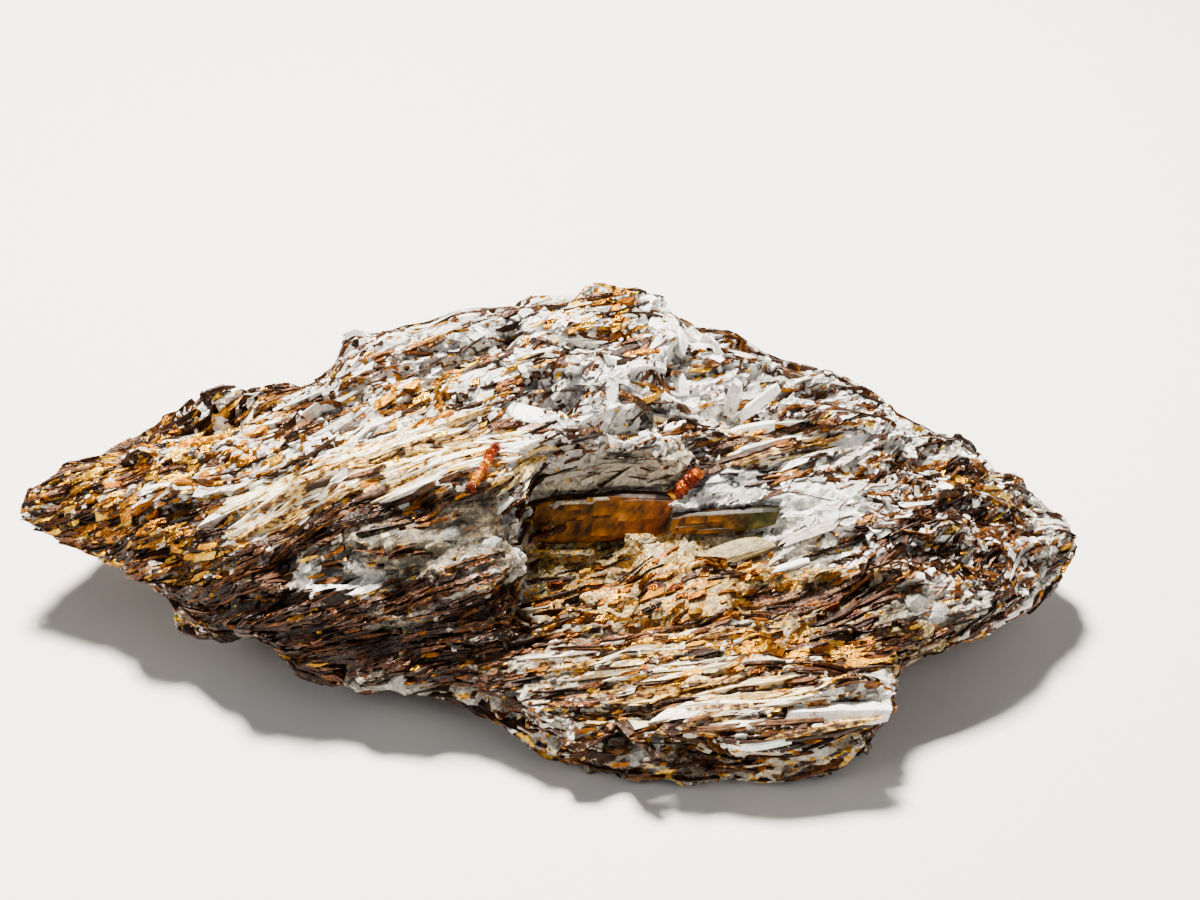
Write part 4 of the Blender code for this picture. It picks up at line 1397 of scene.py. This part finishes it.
class MakeGoldPlates(bpy.types.Operator):
    """Strew the larger gold plates where they glint"""

    bl_idname = "astrophyllite.gold_plates"
    bl_label = "Gold plates"

    def execute(self, context):
        stops = [(0.0, (0.26, 0.06, 0.0)), (0.35, (0.54, 0.21, 0.001)), (0.7, (0.80, 0.45, 0.014)),
                 (1.0, (0.97, 0.84, 0.32))]
        finish = blade_finish("gold_plate", stops, 0.26, metallic=0.9)
        strew(context.scene.astro_plates, "gold_plates", "glints", finish, seed=9, slot="gold_flakes",
              roll=22.0, pitch=6.0)
        return {"FINISHED"}


class MakeHollowBlades(bpy.types.Operator):
    """Make the amber and the olive blade that stand in the hollow"""

    bl_idname = "astrophyllite.hollow_blades"
    bl_label = "Hollow blades"

    def execute(self, context):
        look = context.scene.astro_large
        for key, tints, seed in (("amber", (look.amber_colour, look.amber_far_colour), 31),
                                 ("olive", (look.olive_colour, look.olive_far_colour), 33)):
            cluster = Cluster(seed)
            cluster.book(standing_place(key), grown(key), 4)
            finish = clear_finish(key + "_blade", *tints, STANDING[key][1][0] / 2)
            cluster.finish(key + "_blade", finish, "amber_blades")
        return {"FINISHED"}


class MakeRods(bpy.types.Operator):
    """Make the two beaded rods"""

    bl_idname = "astrophyllite.rods"
    bl_label = "Red rods"

    def execute(self, context):
        look = context.scene.astro_large
        tint = tuple(look.rod_colour)
        stops = [(0.0, [0.25 * c for c in tint]), (0.45, tint), (0.72, (0.56, 0.16, 0.0)),
                 (1.0, (0.88, 0.50, 0.01))]
        cluster = Cluster(seed=35)
        cluster.beads(standing_place("right_rod"), grown("right_rod"), look.bead_count)
        start, end = map(Vector, LEFT_ROD_ENDS)
        turn = (end - start).to_track_quat("X", "Z").to_matrix().to_4x4()
        place = Matrix.Translation((start + end) / 2) @ turn
        cluster.beads(place, ((end - start).length, LEFT_ROD_WIDTH, LEFT_ROD_WIDTH), look.bead_count)
        cluster.finish("red_rods", blade_finish("red_rod", stops, 0.22, metallic=0.7), "amber_blades")
        return {"FINISHED"}


class MakeLargeLaths(bpy.types.Operator):
    """Make the large laths: white, pale gold and dark"""

    bl_idname = "astrophyllite.large_laths"
    bl_label = "Large laths"

    def execute(self, context):
        white = tuple(context.scene.astro_large.white_colour)
        stops = [(0.0, [0.60 * c for c in white]), (0.30, [0.92 * c for c in white]), (1.0, white)]
        finish = blade_finish("large_white_lath", stops, 0.32, spread=0.4,
                              cling=(RUST_DARK, RUST_LIGHT, 0.61))
        cluster = Cluster(seed=37)
        for key in ("long_white", "steep_white", "low_white", "ledge_white"):
            cluster.lath(standing_place(key), grown(key), bevel=0.08, uneven=0.12)
        cluster.finish("standing_white_laths", finish, "white_crystals")
        lying_laths("lying_white_laths", LYING_WHITE, finish, seed=39, slot="white_crystals")
        stops = [(0.0, (0.30, 0.07, 0.0)), (0.4, (0.62, 0.28, 0.003)), (1.0, (0.95, 0.74, 0.20))]
        finish = blade_finish("gold_lath", stops, 0.26, metallic=0.8, cling=(RUST_DARK, RUST_LIGHT, 0.57))
        lying_laths("lying_gold_laths", LYING_GOLD, finish, seed=43, slot="gold_flakes")
        stops = [(0.0, (0.006, 0.002, 0.0005)), (0.6, (0.030, 0.009, 0.001)), (1.0, (0.14, 0.045, 0.003))]
        finish = blade_finish("large_dark_lath", stops, 0.34, metallic=0.4)
        lying_laths("lying_dark_laths", LYING_DARK, finish, seed=41, slot="brown_blades")
        return {"FINISHED"}


class MakeQuartz(bpy.types.Operator):
    """Make the glassy grains, the yellow ledge and the two-coloured flake"""

    bl_idname = "astrophyllite.quartz"
    bl_label = "Quartz and flake"

    def execute(self, context):
        stops = [(0.0, (0.20, 0.19, 0.17)), (0.5, (0.46, 0.45, 0.41)), (1.0, (0.84, 0.82, 0.78))]
        finish = blade_finish("grey_quartz", stops, 0.14, see_through=0.4)
        ground, cluster = Ground(), Cluster(seed=45)
        for place, size in QUARTZ_GRAINS:
            turned = ground.at(place, cluster.pick.uniform(-GRAIN_TURN, GRAIN_TURN))
            cluster.lump(turned @ raised(-GRAIN_SINK * size[2]), size)
        cluster.finish("quartz_grains", finish, "white_crystals")
        cluster = Cluster(seed=47)
        cluster.lump(ground.at(LEDGE_PLACE) @ raised(-LEDGE_SINK * LEDGE_SIZE[2]), LEDGE_SIZE, 3)
        stops = [(0.0, (0.065, 0.044, 0.012)), (0.5, (0.19, 0.138, 0.046)), (1.0, (0.44, 0.34, 0.15))]
        cluster.finish("yellow_quartz", blade_finish("yellow_quartz", stops, 0.3), "white_crystals")
        cluster = Cluster(seed=49)
        place = ground.at(FLAKE_PLACE, FLAKE_TURN) @ raised(LYING_RISE - LYING_ROOT / 2)
        cluster.lath(place, (*FLAKE_SIZE, LYING_ROOT), stations=5)
        cluster.finish("flake", flake_finish(), "white_crystals")
        return {"FINISHED"}


class MakeStage(bpy.types.Operator):
    """Set the floor, the lights and the camera"""

    bl_idname = "astrophyllite.stage"
    bl_label = "Stage"

    def execute(self, context):
        make_stage(context.scene.astro_stage)
        return {"FINISHED"}


def make_floor(floor_colour):
    s = Shader("plain_floor")
    s.finish(Base_Color=(*floor_colour, 1.0), Roughness=0.7)
    mesh = bmesh.new()
    bmesh.ops.create_grid(mesh, x_segments=1, y_segments=1, size=FLOOR_HALF * MM)
    data = bpy.data.meshes.new("floor")
    mesh.to_mesh(data)
    mesh.free()
    data.materials.append(s.material)
    floor = bpy.data.objects.new("floor", data)
    bpy.context.scene.collection.objects.link(floor)


def soft_light(name, place, width, power, tint):
    """A square light that faces the rock."""
    data = bpy.data.lights.new(name, "AREA")
    data.size = width * MM
    data.energy = power
    data.color = tint
    lamp = bpy.data.objects.new(name, data)
    lamp.location = Vector(place) * MM
    lamp.rotation_euler = (Vector(LIGHT_AIM) - Vector(place)).to_track_quat("-Z", "Y").to_euler()
    bpy.context.scene.collection.objects.link(lamp)


def make_stage(look):
    make_floor(look.floor_colour)
    for name, light in LIGHTS.items():
        soft_light(name, *light)
    world = bpy.data.worlds.new("soft_studio")
    bpy.context.scene.world = world
    world.use_nodes = True
    sky = world.node_tree.nodes["Background"].inputs
    sky["Color"].default_value = (*SKY_TINT, 1.0)
    sky["Strength"].default_value = SKY_STRENGTH
    data = bpy.data.cameras.new("camera")
    data.lens = CAMERA_LENS
    data.clip_start = NEAREST_SEEN * MM
    camera = bpy.data.objects.new("camera", data)
    camera.location = Vector(CAMERA_PLACE) * MM
    camera.rotation_euler = (CAMERA_TILT, 0.0, 0.0)
    bpy.context.scene.collection.objects.link(camera)
    bpy.context.scene.camera = camera


class AstrophyllitePanel(bpy.types.Panel):
    """Lists the pieces of the cluster"""

    bl_idname = "VIEW3D_PT_astrophyllite"
    bl_label = "Astrophyllite Cluster"
    bl_space_type = "VIEW_3D"
    bl_region_type = "UI"
    bl_category = "Astrophyllite"

    def draw(self, context):
        for operator in OPERATORS:
            self.layout.operator(operator.bl_idname)
        for key in SETTINGS:
            group = getattr(context.scene, key)
            box = self.layout.box()
            for field in group.__annotations__:
                box.prop(group, field)


SETTINGS = {
    "astro_rock": RockLook,
    "astro_brown": BrownBlades,
    "astro_gold": GoldFlakes,
    "astro_needles": DarkNeedles,
    "astro_white": WhiteLaths,
    "astro_grains": WhiteGrains,
    "astro_fibres": PaleFibres,
    "astro_plates": GoldPlates,
    "astro_large": LargeCrystals,
    "astro_stage": StageLook,
}
OPERATORS = (MakeRock, MakeBrownBlades, MakeDarkNeedles, MakeGoldFlakes, MakeWhiteLaths, MakeWhiteGrains,
             MakePaleFibres, MakeGoldPlates, MakeHollowBlades, MakeRods, MakeLargeLaths, MakeQuartz,
             MakeStage)
CLASSES = (*SETTINGS.values(), *OPERATORS, AstrophyllitePanel)


def register():
    for cls in CLASSES:
        bpy.utils.register_class(cls)
    for key, group in SETTINGS.items():
        setattr(bpy.types.Scene, key, bpy.props.PointerProperty(type=group))


def unregister():
    for key in SETTINGS:
        delattr(bpy.types.Scene, key)
    for cls in reversed(CLASSES):
        bpy.utils.unregister_class(cls)


def main():
    register()
    for operator in OPERATORS:
        family, name = operator.bl_idname.split(".")
        getattr(getattr(bpy.ops, family), name)()


if __name__ == "__main__":
    main()
